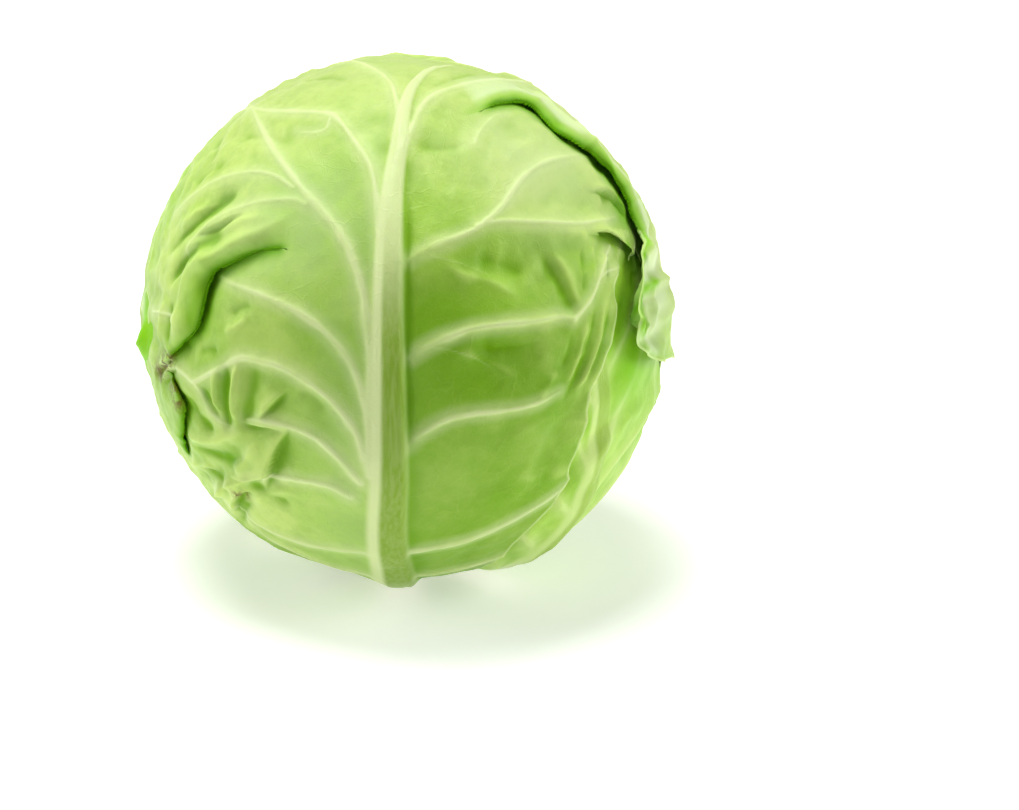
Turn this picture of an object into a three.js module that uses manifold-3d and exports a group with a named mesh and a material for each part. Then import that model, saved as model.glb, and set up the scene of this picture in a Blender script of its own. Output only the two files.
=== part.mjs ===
// A whole round green cabbage head, as cut from its plant, resting upright on its trimmed stem.
// Millimetres, +Z up, -Y is the side that faces the viewer. The origin is on the surface that the
// head rests on, under the middle of its bounding box.
//
// The pieces are the cut stem, the heart (the tight ball that the unopened leaves make) and the
// six wrapper leaves that lie over it one on another. Each wrapper leaf is a thin shell that starts
// beside the stem, runs up the head and lies over the margins of the leaves inside it.
import * as THREE from "three";
import { mergeVertices } from "three/addons/utils/BufferGeometryUtils.js";
import Module from "manifold-3d";

const wasm = await Module();
wasm.setup();

// Driving dimensions.
const HEAD_R = 88; // radius of the head over its wrapper leaves
const CENTRE_Z = 86; // height of the head's middle over the surface that it rests on
const BASE_GAP = 6; // height of the flat under the head over that surface
const LEAF_THICK = 1.25; // a wrapper leaf
const LEAF_GAP = 0.45; // clear space between one leaf and the next
const PITCH = LEAF_THICK + LEAF_GAP;
const DRAPE_IN = 12.5; // a leaf keeps its full step this far past the margin of the leaf under it
const DRAPE_OUT = 24; // and is back down on the head at this distance
const BLUR = 14; // rounds of smoothing of the room that the heart makes for the leaves
const STEM_R = 19; // cut stem at its top
const STEM_FOOT_R = 16.5; // flat cut face that the head rests on
const STEM_TOP = 12; // height of the stem's top, under the heart
const STEM_CLEAR_R = 20; // leaf bases stop here
const HEART_FLOOR = 12.8; // height of the flat under the heart
const FLAP_RISE = 4.5; // the loose flap at the front leaf's upper right
const SHIFT = [-1.809, 0.027, 0]; // puts the origin under the middle of the bounding box
const LATTICE = 7; // icosahedron detail of every round surface
const RIM_POINTS = 72;

const DEG = Math.PI / 180;

// az: degrees from the front (-Y), positive towards +X. pol: degrees from the top. Both give the
// middle of the leaf. rim: [direction clockwise from up, angle from the middle to the margin].
const LEAVES = [
  {
    name: "crown_leaf",
    az: 176,
    pol: 72,
    rim: [[0, 92], [28, 88], [55, 78], [80, 70], [100, 66], [122, 64], [142, 69], [158, 78], [170, 92], [180, 104],
      [190, 92], [202, 78], [218, 69], [238, 64], [260, 66], [280, 70], [305, 78], [332, 88]],
  },
  {
    name: "back_leaf",
    az: -166,
    pol: 90,
    rim: [[0, 62], [25, 66], [50, 70], [75, 69], [95, 67], [115, 65], [135, 62], [150, 63], [162, 68], [172, 79], [180, 88],
      [188, 79], [198, 68], [210, 63], [225, 62], [245, 66], [265, 68], [285, 69], [310, 69], [335, 66]],
  },
  {
    name: "right_leaf",
    az: 50,
    pol: 90,
    rim: [[0, 82], [25, 80], [50, 75], [75, 71], [95, 68], [115, 65], [135, 62], [150, 63], [162, 68], [172, 79], [180, 88],
      [188, 79], [198, 68], [210, 63], [225, 62], [245, 65], [265, 69], [285, 71], [310, 75], [335, 80]],
  },
  {
    name: "left_leaf",
    az: -98,
    pol: 90,
    rim: [[0, 86], [25, 82], [50, 74], [75, 68], [95, 65], [115, 63], [135, 61], [150, 63], [162, 68], [172, 79], [180, 88],
      [188, 79], [198, 68], [210, 63], [225, 60], [245, 60], [265, 61], [285, 64], [310, 71], [335, 81]],
  },
  {
    name: "back_right_leaf",
    az: 133,
    pol: 90,
    rim: [[0, 84], [25, 81], [50, 74], [75, 68], [95, 66], [115, 64], [135, 62], [150, 63], [162, 68], [172, 79], [180, 88],
      [188, 79], [198, 68], [210, 63], [225, 62], [245, 65], [265, 68], [285, 71], [310, 76], [335, 82]],
  },
  {
    name: "front_leaf",
    az: -3,
    pol: 86,
    rim: [[0, 104], [25, 102], [45, 99], [62, 98], [78, 98], [90, 95], [97, 84], [104, 60], [113, 51], [128, 50], [145, 53],
      [160, 65], [171, 79], [180, 92], [189, 79], [200, 68], [216, 69], [232, 73], [248, 74], [262, 73], [275, 77], [290, 87],
      [310, 96], [335, 102]],
  },
];

const dot = (a, b) => a[0] * b[0] + a[1] * b[1] + a[2] * b[2];
const smooth = (t) => {
  const c = Math.min(1, Math.max(0, t));
  return c * c * (3 - 2 * c);
};
const smin = (a, b, k) => {
  const h = Math.min(1, Math.max(0, 0.5 + (0.5 * (b - a)) / k));
  return b * (1 - h) + a * h - k * h * (1 - h);
};

// Each leaf's own map: n is its middle, up and right are the map's directions there.
for (const leaf of LEAVES) {
  const a = leaf.az * DEG,
    t = leaf.pol * DEG;
  leaf.n = [Math.sin(a) * Math.sin(t), -Math.cos(a) * Math.sin(t), Math.cos(t)];
  leaf.up = [-Math.sin(a) * Math.cos(t), Math.cos(a) * Math.cos(t), Math.sin(t)];
  leaf.right = [
    leaf.up[1] * leaf.n[2] - leaf.up[2] * leaf.n[1],
    leaf.up[2] * leaf.n[0] - leaf.up[0] * leaf.n[2],
    leaf.up[0] * leaf.n[1] - leaf.up[1] * leaf.n[0],
  ];
}

// The direction at angle rho from the leaf's middle, clockwise by psi from up. Both in degrees.
function direction(leaf, psi, rho) {
  const s = Math.sin(rho * DEG),
    c = Math.cos(rho * DEG),
    x = s * Math.sin(psi * DEG),
    y = s * Math.cos(psi * DEG);
  return [0, 1, 2].map((i) => c * leaf.n[i] + x * leaf.right[i] + y * leaf.up[i]);
}

// The margin's angle at psi: a periodic cubic through the rim's points.
function rimAt(leaf, psi) {
  const p = leaf.rim,
    m = p.length;
  psi = ((psi % 360) + 360) % 360;
  let i = m - 1;
  while (i > 0 && p[i][0] > psi) i--;
  const at = (k) => {
    const w = Math.floor(k / m);
    const q = p[k - w * m];
    return [q[0] + 360 * w, q[1]];
  };
  const [x0, y0] = at(i - 1),
    [x1, y1] = at(i),
    [x2, y2] = at(i + 1),
    [x3, y3] = at(i + 2);
  const h = x2 - x1,
    t = (psi - x1) / h,
    m1 = ((y2 - y0) / (x2 - x0)) * h,
    m2 = ((y3 - y1) / (x3 - x1)) * h,
    t2 = t * t,
    t3 = t2 * t;
  return (2 * t3 - 3 * t2 + 1) * y1 + (t3 - 2 * t2 + t) * m1 + (3 * t2 - 2 * t3) * y2 + (t3 - t2) * m2;
}
for (const leaf of LEAVES)
  leaf.line = Array.from({ length: 240 }, (_, i) => direction(leaf, i * 1.5, rimAt(leaf, i * 1.5)));

// Distance in mm from a direction to a leaf's margin, positive inside the leaf.
function inside(leaf, d) {
  let best = 1e9;
  for (let i = 0; i < leaf.line.length; i++) {
    const a = leaf.line[i],
      b = leaf.line[(i + 1) % leaf.line.length];
    const e = [b[0] - a[0], b[1] - a[1], b[2] - a[2]],
      w = [d[0] - a[0], d[1] - a[1], d[2] - a[2]];
    const t = Math.min(1, Math.max(0, dot(w, e) / dot(e, e)));
    const q = [w[0] - t * e[0], w[1] - t * e[1], w[2] - t * e[2]];
    best = Math.min(best, dot(q, q));
  }
  const psi = Math.atan2(dot(d, leaf.right), dot(d, leaf.up)) / DEG,
    rho = Math.acos(Math.min(1, Math.max(-1, dot(d, leaf.n)))) / DEG;
  return (rho < rimAt(leaf, psi) ? 1 : -1) * Math.sqrt(best) * HEAD_R;
}

// The head's outer form: a ball, a little uneven, flattened underneath round the stem.
function envelope([x, y, z]) {
  const uneven =
    Math.sin(2.3 * x + 1.7 * z + 0.5) * Math.sin(2.9 * y - 1.1 * x + 1.9) +
    0.6 * Math.sin(4.1 * z + 2.7 * y + 0.3) * Math.sin(3.7 * x - 1.9 * z + 2.2);
  const r = HEAD_R + 0.8 * uneven;
  return smin(r, (CENTRE_Z - BASE_GAP) / Math.max(-z, 0.05), 3);
}

// One shared lattice of directions, so that surfaces whose radii are in order never cross.
const ico = new THREE.IcosahedronGeometry(1, LATTICE);
ico.deleteAttribute("normal");
ico.deleteAttribute("uv");
const lattice = mergeVertices(ico, 1e-4);
const dirs = [];
for (let i = 0; i < lattice.attributes.position.count; i++) {
  const v = new THREE.Vector3().fromBufferAttribute(lattice.attributes.position, i).normalize();
  dirs.push([v.x, v.y, v.z]);
}
const tris = new Uint32Array(lattice.index.array);

const margin = LEAVES.map((leaf) => dirs.map((d) => inside(leaf, d)));
const under = (k, i) => {
  let n = 0;
  for (let j = 0; j < k; j++) n += smooth((margin[j][i] + DRAPE_OUT) / (DRAPE_OUT - DRAPE_IN));
  return n;
};

// The heart makes room for the leaves over it, so that the head as a whole keeps its form. The
// number of leaves changes in steps, and the heart doesn't, so that number is smoothed first.
const near = dirs.map(() => new Set());
for (let i = 0; i < tris.length; i += 3)
  for (let j = 0; j < 3; j++) near[tris[i + j]].add(tris[i + ((j + 1) % 3)]).add(tris[i + ((j + 2) % 3)]);
let room = dirs.map((_, i) => under(LEAVES.length, i));
for (let n = 0; n < BLUR; n++) room = room.map((r, i) => 0.4 * r + (0.6 * [...near[i]].reduce((s, j) => s + room[j], 0)) / near[i].size);
const heart = dirs.map((d, i) => envelope(d) - PITCH * room[i]);
const flap = (leaf, d) => {
  const h = Math.hypot(dot(d, leaf.right), dot(d, leaf.up)) + 1e-9,
    rho = Math.acos(Math.min(1, Math.max(-1, dot(d, leaf.n)))) / DEG,
    x = (dot(d, leaf.right) / h) * rho,
    y = (dot(d, leaf.up) / h) * rho;
  return FLAP_RISE * Math.exp(-((x - 84) ** 2) / (2 * 14 ** 2) - (y - 22) ** 2 / (2 * 28 ** 2));
};

// A closed body from a radius at each direction of the lattice.
function ball(radii) {
  const v = new Float32Array(dirs.length * 3);
  dirs.forEach((d, i) => v.set([d[0] * radii[i], d[1] * radii[i], d[2] * radii[i] + CENTRE_Z], i * 3));
  return new wasm.Manifold(new wasm.Mesh({ numProp: 3, vertProperties: v, triVerts: tris }));
}

// Everything in the directions inside a leaf's margin: a cone from the head's middle.
function cone(leaf) {
  const rings = [0.28, 0.54, 0.78, 1],
    far = 190,
    v = [0, 0, CENTRE_Z],
    t = [],
    n = RIM_POINTS;
  const put = (d) => v.push(d[0] * far, d[1] * far, d[2] * far + CENTRE_Z) / 3 - 1;
  const top = put(leaf.n);
  const ids = rings.map((s) => Array.from({ length: n }, (_, i) => put(direction(leaf, (i * 360) / n, s * rimAt(leaf, (i * 360) / n)))));
  for (let i = 0; i < n; i++) {
    const j = (i + 1) % n;
    t.push(top, ids[0][j], ids[0][i]);
    for (let k = 0; k + 1 < rings.length; k++) t.push(ids[k][i], ids[k][j], ids[k + 1][j], ids[k][i], ids[k + 1][j], ids[k + 1][i]);
    t.push(0, ids[rings.length - 1][i], ids[rings.length - 1][j]);
  }
  const made = new wasm.Manifold(new wasm.Mesh({ numProp: 3, vertProperties: new Float32Array(v), triVerts: new Uint32Array(t) }));
  return made.volume() < 0 ? null : made;
}

function solidOf(geometry) {
  const g = geometry.clone();
  g.deleteAttribute("normal");
  g.deleteAttribute("uv");
  const m = mergeVertices(g, 1e-4);
  return new wasm.Manifold(new wasm.Mesh({ numProp: 3, vertProperties: new Float32Array(m.attributes.position.array), triVerts: new Uint32Array(m.index.array) }));
}

function meshOf(solid, name, colour, roughness) {
  // Only the largest body is kept: a cut can leave a loose crumb at a leaf's tip.
  const body = solid.decompose().sort((a, b) => b.volume() - a.volume())[0];
  const m = body.getMesh(),
    v = new Float32Array((m.vertProperties.length / m.numProp) * 3);
  for (let i = 0; i < v.length / 3; i++) v.set(m.vertProperties.subarray(i * m.numProp, i * m.numProp + 3), i * 3);
  const g = new THREE.BufferGeometry();
  g.setAttribute("position", new THREE.BufferAttribute(v, 3));
  g.setIndex(new THREE.BufferAttribute(new Uint32Array(m.triVerts), 1));
  const mesh = new THREE.Mesh(g, new THREE.MeshStandardMaterial({ color: colour, roughness, metalness: 0 }));
  mesh.name = name;
  return mesh;
}

// A lathe profile turns about Y in three.js, so it is stood up on Z.
const lathe = (profile, n) => new THREE.LatheGeometry(profile.map(([r, z]) => new THREE.Vector2(r, z)), n).rotateX(Math.PI / 2);

const cabbage = new THREE.Group();
cabbage.name = "cabbage_head";
cabbage.position.set(...SHIFT);

const stem = solidOf(lathe([[0, 0], [STEM_FOOT_R, 0], [STEM_FOOT_R + 1.2, 1], [STEM_R - 0.4, 5], [STEM_R, STEM_TOP], [0, STEM_TOP]], 32));
cabbage.add(meshOf(stem, "cut_stem", 0xe4e6c4, 0.6));

const core = heart.map((r, i) => smin(r, (CENTRE_Z - HEART_FLOOR) / Math.max(-dirs[i][2], 0.05), 2));
cabbage.add(meshOf(ball(core), "heart", 0xc3d894, 0.5));

const stemRoom = solidOf(lathe([[0, -5], [STEM_CLEAR_R, -5], [STEM_CLEAR_R, 30], [0, 30]], 32));
const COLOURS = [0xb4cf7c, 0x9fc663, 0x8dbb4c, 0x9cc45f, 0x98c25a, 0xa6ca6c];
LEAVES.forEach((leaf, k) => {
  const lower = dirs.map((d, i) => heart[i] + PITCH * under(k, i) + LEAF_GAP + (leaf.name === "front_leaf" ? flap(leaf, d) : 0));
  const shell = ball(lower.map((r) => r + LEAF_THICK)).subtract(ball(lower));
  cabbage.add(meshOf(shell.intersect(cone(leaf)).subtract(stemRoom), leaf.name, COLOURS[k], 0.45));
});

export default cabbage;
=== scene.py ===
"""A whole round green cabbage head, resting upright on its cut stem.

Every wrapper leaf is a closed thin shell, built on a flat chart of its own (the distance and the
direction from the leaf's middle, measured over the head) and laid on the head in the order in
which the leaves overlap. Its ribs, the sag of the blade between them, its pleats, rolled edges and
frills are all in the mesh. The material adds the fine net of veinlets, the wax bloom and the
changes of colour, and painted light and shade: painted highlights on crests, towards the top and
on the flap, painted shade in hollows, pleat gaps and on the shaded blade, and a painted green
glow on the thin rolled lips.
"""

import math

import bpy
import numpy as np
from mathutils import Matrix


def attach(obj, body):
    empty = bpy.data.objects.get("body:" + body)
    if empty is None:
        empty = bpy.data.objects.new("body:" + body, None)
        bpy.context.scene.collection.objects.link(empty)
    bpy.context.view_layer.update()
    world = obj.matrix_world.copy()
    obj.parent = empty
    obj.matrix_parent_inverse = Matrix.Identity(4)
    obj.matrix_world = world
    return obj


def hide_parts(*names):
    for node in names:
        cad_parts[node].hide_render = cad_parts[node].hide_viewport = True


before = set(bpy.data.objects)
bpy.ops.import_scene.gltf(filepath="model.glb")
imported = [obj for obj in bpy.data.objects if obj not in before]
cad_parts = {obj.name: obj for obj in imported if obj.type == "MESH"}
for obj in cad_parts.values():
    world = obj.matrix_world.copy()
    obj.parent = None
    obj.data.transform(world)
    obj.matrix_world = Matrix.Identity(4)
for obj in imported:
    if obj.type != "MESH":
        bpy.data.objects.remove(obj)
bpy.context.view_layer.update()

# ------------------------------------------------------------------ the head, in millimetres
HEAD_R = 88.0
CENTRE_Z = 86.0
SHIFT = np.array([-1.809, 0.027, 0.0])
BASE_GAP = 6.0
THICK = 0.85
PITCH = 1.1
DEG = math.pi / 180.0
K = HEAD_R * DEG  # mm over the head for one degree
STEM_R = 19.0
STEM_FOOT_R = 16.5
FINE = 1.0  # scales every grid step; below 1 is finer

LEAVES = [
    dict(name="crown_leaf", az=176, pol=72, rim=[(0, 92), (28, 88), (55, 78), (80, 70), (100, 66), (122, 64), (142, 69), (158, 78), (170, 92), (180, 104),
         (190, 92), (202, 78), (218, 69), (238, 64), (260, 66), (280, 70), (305, 78), (332, 88)]),
    dict(name="back_leaf", az=-166, pol=90, rim=[(0, 62), (25, 66), (50, 70), (75, 69), (95, 67), (115, 65), (135, 62), (150, 63), (162, 68), (172, 79), (180, 88),
         (188, 79), (198, 68), (210, 63), (225, 62), (245, 66), (265, 68), (285, 69), (310, 69), (335, 66)]),
    dict(name="right_leaf", az=50, pol=90, rim=[(0, 82), (25, 80), (50, 75), (75, 71), (95, 68), (115, 65), (135, 62), (150, 63), (162, 68), (172, 79), (180, 88),
         (188, 79), (198, 68), (210, 63), (225, 62), (245, 65), (265, 69), (285, 71), (310, 75), (335, 80)]),
    dict(name="left_leaf", az=-98, pol=90, rim=[(0, 86), (25, 82), (50, 74), (75, 68), (95, 65), (115, 63), (135, 61), (150, 63), (162, 68), (172, 79), (180, 88),
         (188, 79), (198, 68), (210, 63), (225, 60), (245, 60), (265, 61), (285, 64), (310, 71), (335, 81)]),
    dict(name="back_right_leaf", az=133, pol=90, rim=[(0, 84), (25, 81), (50, 74), (75, 68), (95, 66), (115, 64), (135, 62), (150, 63), (162, 68), (172, 79), (180, 88),
         (188, 79), (198, 67), (210, 60), (225, 55), (245, 51), (265, 50), (285, 54), (310, 65), (335, 79)]),
    dict(name="front_leaf", az=-3, pol=86, rim=[(0, 104), (25, 102), (45, 99), (62, 98), (78, 98), (90, 95), (97, 84), (104, 60), (113, 51), (128, 50), (145, 53),
         (160, 65), (171, 79), (180, 92), (189, 79), (200, 68), (216, 70), (232, 76), (246, 80), (256, 81), (264, 77), (271, 76), (278, 82), (290, 91),
         (310, 98), (335, 102)]),
]
BY_NAME = {leaf["name"]: i for i, leaf in enumerate(LEAVES)}


def smooth(t):
    c = np.clip(t, 0.0, 1.0)
    return c * c * (3 - 2 * c)


def smin(a, b, k):
    h = np.clip(0.5 + 0.5 * (b - a) / k, 0, 1)
    return b * (1 - h) + a * h - k * h * (1 - h)


def smax(a, b, k):
    return -smin(-a, -b, k)


for leaf in LEAVES:
    a, t = leaf["az"] * DEG, leaf["pol"] * DEG
    n = np.array([math.sin(a) * math.sin(t), -math.cos(a) * math.sin(t), math.cos(t)])
    up = np.array([-math.sin(a) * math.cos(t), math.cos(a) * math.cos(t), math.sin(t)])
    leaf["n"], leaf["up"], leaf["right"] = n, up, np.cross(up, n)


def chart_dir(leaf, x, y):
    """Directions at chart points, in mm over the head."""
    h = np.hypot(x, y)
    rho = h / HEAD_R
    s = np.sin(rho) / np.maximum(h, 1e-9)
    return np.cos(rho)[..., None] * leaf["n"] + (s * x)[..., None] * leaf["right"] + (s * y)[..., None] * leaf["up"]


def dir_chart(leaf, d):
    c, x, y = d @ leaf["n"], d @ leaf["right"], d @ leaf["up"]
    h = np.hypot(x, y)
    rho = np.arctan2(h, c) * HEAD_R
    return x / np.maximum(h, 1e-9) * rho, y / np.maximum(h, 1e-9) * rho


def rim_at(leaf, psi):
    """The margin's angle from the leaf's middle, in degrees, at directions psi clockwise from up."""
    p = np.array(leaf["rim"], float)
    m = len(p)
    psi = np.mod(psi, 360.0)
    i = np.searchsorted(p[:, 0], psi, side="right") - 1

    def at(k):
        w = np.floor_divide(k, m)
        q = p[k - w * m]
        return q[..., 0] + 360.0 * w, q[..., 1]

    x0, y0 = at(i - 1)
    x1, y1 = at(i)
    x2, y2 = at(i + 1)
    x3, y3 = at(i + 2)
    h = x2 - x1
    t = (psi - x1) / h
    m1, m2 = (y2 - y0) / (x2 - x0) * h, (y3 - y1) / (x3 - x1) * h
    return (2 * t**3 - 3 * t**2 + 1) * y1 + (t**3 - 2 * t**2 + t) * m1 + (3 * t**2 - 2 * t**3) * y2 + (t**3 - t**2) * m2


PSI = np.arange(0, 360, 1.5)
for leaf in LEAVES:
    rho = rim_at(leaf, PSI)
    leaf["line"] = chart_dir(leaf, rho * K * np.sin(PSI * DEG), rho * K * np.cos(PSI * DEG))


def inside(leaf, d):
    """Distance in mm from directions to the leaf's margin, positive inside it."""
    flat = d.reshape(-1, 3)
    a = leaf["line"]
    e = np.roll(a, -1, 0) - a
    ee = (e * e).sum(1)
    best = np.full(len(flat), 1e9)
    for i in range(len(a)):
        w = flat - a[i]
        t = np.clip((w @ e[i]) / ee[i], 0, 1)
        q = w - t[:, None] * e[i]
        best = np.minimum(best, (q * q).sum(1))
    x, y = dir_chart(leaf, flat)
    within = np.hypot(x, y) / K < rim_at(leaf, np.degrees(np.arctan2(x, y)))
    return (np.where(within, 1.0, -1.0) * np.sqrt(best) * HEAD_R).reshape(d.shape[:-1])


def envelope(d):
    x, y, z = d[..., 0], d[..., 1], d[..., 2]
    uneven = np.sin(2.3 * x + 1.7 * z + 0.5) * np.sin(2.9 * y - 1.1 * x + 1.9) + 0.6 * np.sin(4.1 * z + 2.7 * y + 0.3) * np.sin(3.7 * x - 1.9 * z + 2.2)
    return smin(HEAD_R + 0.8 * uneven, (CENTRE_Z - BASE_GAP) / np.maximum(-z, 0.05), 3.0)


# The room that the leaves need, as a smooth field over the head.
_k = np.arange(1200) + 0.5
_z = 1 - 2 * _k / 1200
_a = _k * math.pi * (3 - math.sqrt(5))
SPREAD = np.stack([np.sqrt(1 - _z * _z) * np.cos(_a), np.sqrt(1 - _z * _z) * np.sin(_a), _z], -1)
COUNT = sum(smooth((inside(leaf, SPREAD) + 12.0) / 10.0) for leaf in LEAVES)


def room(d):
    flat = d.reshape(-1, 3)
    out = np.empty(len(flat))
    for i in range(0, len(flat), 4000):
        w = np.exp(20.0 * (flat[i:i + 4000] @ SPREAD.T - 1))
        out[i:i + 4000] = (w @ COUNT) / w.sum(1)
    return out.reshape(d.shape[:-1])


# ------------------------------------------------------------------ the camera
PX = (1019, 810)
HEAD_PX = (406.0, 318.0, 261.0)  # where the head's middle is in the frame, and its radius there
ELEV, DIST = 22.0, 1600.0
FOCAL = HEAD_PX[2] / (HEAD_R / math.sqrt(DIST**2 - HEAD_R**2))
_e = ELEV * DEG
_fwd0 = np.array([0.0, math.cos(_e), -math.sin(_e)])
_right0 = np.array([1.0, 0.0, 0.0])
_up0 = np.cross(_right0, _fwd0)
_dx, _dy = HEAD_PX[0] - PX[0] / 2, HEAD_PX[1] - PX[1] / 2
_yaw = math.atan2(-_dx, FOCAL)
CAM_R = _right0 * math.cos(_yaw) - _fwd0 * math.sin(_yaw)
_f1 = _fwd0 * math.cos(_yaw) + _right0 * math.sin(_yaw)
_pitch = math.atan2(-_dy, math.hypot(FOCAL, _dx))
CAM_F = _f1 * math.cos(_pitch) - _up0 * math.sin(_pitch)
CAM_U = _up0 * math.cos(_pitch) + _f1 * math.sin(_pitch)
CAM_POS = -_fwd0 * DIST  # from the head's middle


def seen_at(leaf, pts, rad=HEAD_R):
    """Chart points, in mm, that the camera sees at these frame positions, on a ball of radius rad."""
    pts = np.array(pts, float)
    d = FOCAL * CAM_F + (pts[:, :1] - PX[0] / 2) * CAM_R - (pts[:, 1:] - PX[1] / 2) * CAM_U
    d /= np.linalg.norm(d, axis=1, keepdims=True)
    b = d @ CAM_POS
    disc = np.maximum(b * b - (CAM_POS @ CAM_POS - rad * rad), 0)
    p = CAM_POS + (-b - np.sqrt(disc))[:, None] * d
    p /= np.linalg.norm(p, axis=1, keepdims=True)
    return np.stack(dir_chart(leaf, p), -1)


# ------------------------------------------------------------------ fields over a leaf's chart
def cubic_matrix(n, x):
    """Catmull-Rom weights that take n evenly spaced values to positions x, in steps."""
    i = np.clip(np.floor(x).astype(int), 0, n - 2)
    t = x - i
    w = [-0.5 * t + t**2 - 0.5 * t**3, 1 - 2.5 * t**2 + 1.5 * t**3, 0.5 * t + 2 * t**2 - 1.5 * t**3, -0.5 * t**2 + 0.5 * t**3]
    m = np.zeros((len(x), n))
    rows = np.arange(len(x))
    for k in range(4):
        np.add.at(m, (rows, np.clip(i + k - 1, 0, n - 1)), w[k])
    return m


def blur(f, sigma):
    """A Gaussian blur over the grid, with its edges held."""
    r = int(3 * sigma)
    g = np.exp(-0.5 * (np.arange(-r, r + 1) / sigma) ** 2)
    g /= g.sum()
    for axis in (0, 1):
        pad = [(r, r) if a == axis else (0, 0) for a in (0, 1)]
        q = np.pad(f, pad, mode="edge")
        n = f.shape[axis]
        f = sum(w * (q[i:i + n] if axis == 0 else q[:, i:i + n]) for i, w in enumerate(g))
    return f


class Grid:
    def __init__(self, x0, x1, y0, y1, step):
        self.x0, self.y0, self.step = x0, y0, step
        self.nx, self.ny = int((x1 - x0) / step) + 1, int((y1 - y0) / step) + 1
        self.x = x0 + step * np.arange(self.nx)
        self.y = y0 + step * np.arange(self.ny)
        self.X, self.Y = np.meshgrid(self.x, self.y)

    def coarse(self, cell):
        """Coarse points, and the function that spreads values on them over the whole grid."""
        n, m = int((self.x[-1] - self.x0) / cell) + 2, int((self.y[-1] - self.y0) / cell) + 2
        wx, wy = cubic_matrix(n, (self.x - self.x0) / cell), cubic_matrix(m, (self.y - self.y0) / cell)
        cx, cy = np.meshgrid(self.x0 + cell * np.arange(n), self.y0 + cell * np.arange(m))
        return cx, cy, lambda f: wy @ f @ wx.T

    def noise(self, cell, seed):
        """Smooth noise, about -1 to 1, with bumps of that size."""
        cx, cy, spread = self.coarse(cell)
        return spread(np.random.default_rng(seed).uniform(-1, 1, cx.shape))

    def sample(self, f, x, y):
        u, v = np.clip((x - self.x0) / self.step, 0, self.nx - 1.001), np.clip((y - self.y0) / self.step, 0, self.ny - 1.001)
        i, j = u.astype(int), v.astype(int)
        s, t = u - i, v - j
        return (f[j, i] * (1 - s) + f[j, i + 1] * s) * (1 - t) + (f[j + 1, i] * (1 - s) + f[j + 1, i + 1] * s) * t


def smooth_line(pts, gap=1.2):
    """A smooth curve through points, as points about gap mm apart."""
    p = np.array(pts, float)
    q = np.vstack([2 * p[0] - p[1], p, 2 * p[-1] - p[-2]])
    out = []
    for i in range(1, len(q) - 2):
        n = max(2, int(np.linalg.norm(q[i + 1] - q[i]) / gap))
        t = np.arange(n)[:, None] / n
        out.append(0.5 * (2 * q[i] + (q[i + 1] - q[i - 1]) * t + (2 * q[i - 1] - 5 * q[i] + 4 * q[i + 1] - q[i + 2]) * t**2 + (3 * q[i] - q[i - 1] - 3 * q[i + 1] + q[i + 2]) * t**3))
    return np.vstack(out + [p[-1:]])


def along(line):
    s = np.r_[0, np.cumsum(np.linalg.norm(np.diff(line, axis=0), axis=1))]
    return s / s[-1]


def line_field(grid, line, reach):
    """Over the grid: distance to the line, side (+ left of its travel) and place along it, 0 to 1."""
    d2 = np.full((grid.ny, grid.nx), 1e6)
    side, place = np.ones_like(d2), np.zeros_like(d2)
    s = along(line)
    for a, b, sa, sb in zip(line[:-1], line[1:], s[:-1], s[1:]):
        lo, hi = np.minimum(a, b) - reach, np.maximum(a, b) + reach
        i0, i1 = max(0, int((lo[0] - grid.x0) / grid.step)), min(grid.nx, int((hi[0] - grid.x0) / grid.step) + 2)
        j0, j1 = max(0, int((lo[1] - grid.y0) / grid.step)), min(grid.ny, int((hi[1] - grid.y0) / grid.step) + 2)
        if i0 >= i1 or j0 >= j1:
            continue
        e = b - a
        wx, wy = grid.X[j0:j1, i0:i1] - a[0], grid.Y[j0:j1, i0:i1] - a[1]
        t = np.clip((wx * e[0] + wy * e[1]) / (e @ e), 0, 1)
        q = (wx - t * e[0]) ** 2 + (wy - t * e[1]) ** 2
        box = d2[j0:j1, i0:i1]
        near = q < box
        box[near] = q[near]
        side[j0:j1, i0:i1][near] = np.where(e[0] * wy - e[1] * wx >= 0, 1.0, -1.0)[near]
        place[j0:j1, i0:i1][near] = (sa + (sb - sa) * t)[near]
    return np.sqrt(d2), side, place


def line_points(x, y, line):
    """The same for loose points, with the nearest point of the line."""
    best = np.full(len(x), 1e9)
    side, place, qx, qy = np.ones(len(x)), np.zeros(len(x)), np.zeros(len(x)), np.zeros(len(x))
    s = along(line)
    for a, b, sa, sb in zip(line[:-1], line[1:], s[:-1], s[1:]):
        e = b - a
        wx, wy = x - a[0], y - a[1]
        t = np.clip((wx * e[0] + wy * e[1]) / (e @ e), 0, 1)
        q = (wx - t * e[0]) ** 2 + (wy - t * e[1]) ** 2
        near = q < best
        best[near] = q[near]
        side[near] = np.where(e[0] * wy - e[1] * wx >= 0, 1.0, -1.0)[near]
        place[near] = (sa + (sb - sa) * t)[near]
        qx[near], qy[near] = (a[0] + t * e[0])[near], (a[1] + t * e[1])[near]
    return np.sqrt(best), side, place, qx, qy


def polygon_field(x, y, poly):
    """Signed distance to a closed polygon, positive inside."""
    best = np.full(x.shape, 1e9)
    within = np.zeros(x.shape, bool)
    for a, b in zip(poly, np.roll(poly, -1, 0)):
        e = b - a
        wx, wy = x - a[0], y - a[1]
        t = np.clip((wx * e[0] + wy * e[1]) / max(e @ e, 1e-9), 0, 1)
        best = np.minimum(best, (wx - t * e[0]) ** 2 + (wy - t * e[1]) ** 2)
        if a[1] != b[1]:
            within ^= ((a[1] > y) != (b[1] > y)) & (x < e[0] * (y - a[1]) / e[1] + a[0])
    return np.where(within, 1.0, -1.0) * np.sqrt(best)


# ------------------------------------------------------------------ ribs
def rib(pts, w0, w1, h0, h1, tent=1.0, reach=9.0, tone=1.0, start=1.0):
    """A side rib: half width and height at its start and end, and how far the blade rises to it."""
    return dict(line=smooth_line(pts), w0=w0, w1=w1, h0=h0, h1=h1, tent=tent, reach=reach, tone=tone, start=start)


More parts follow.
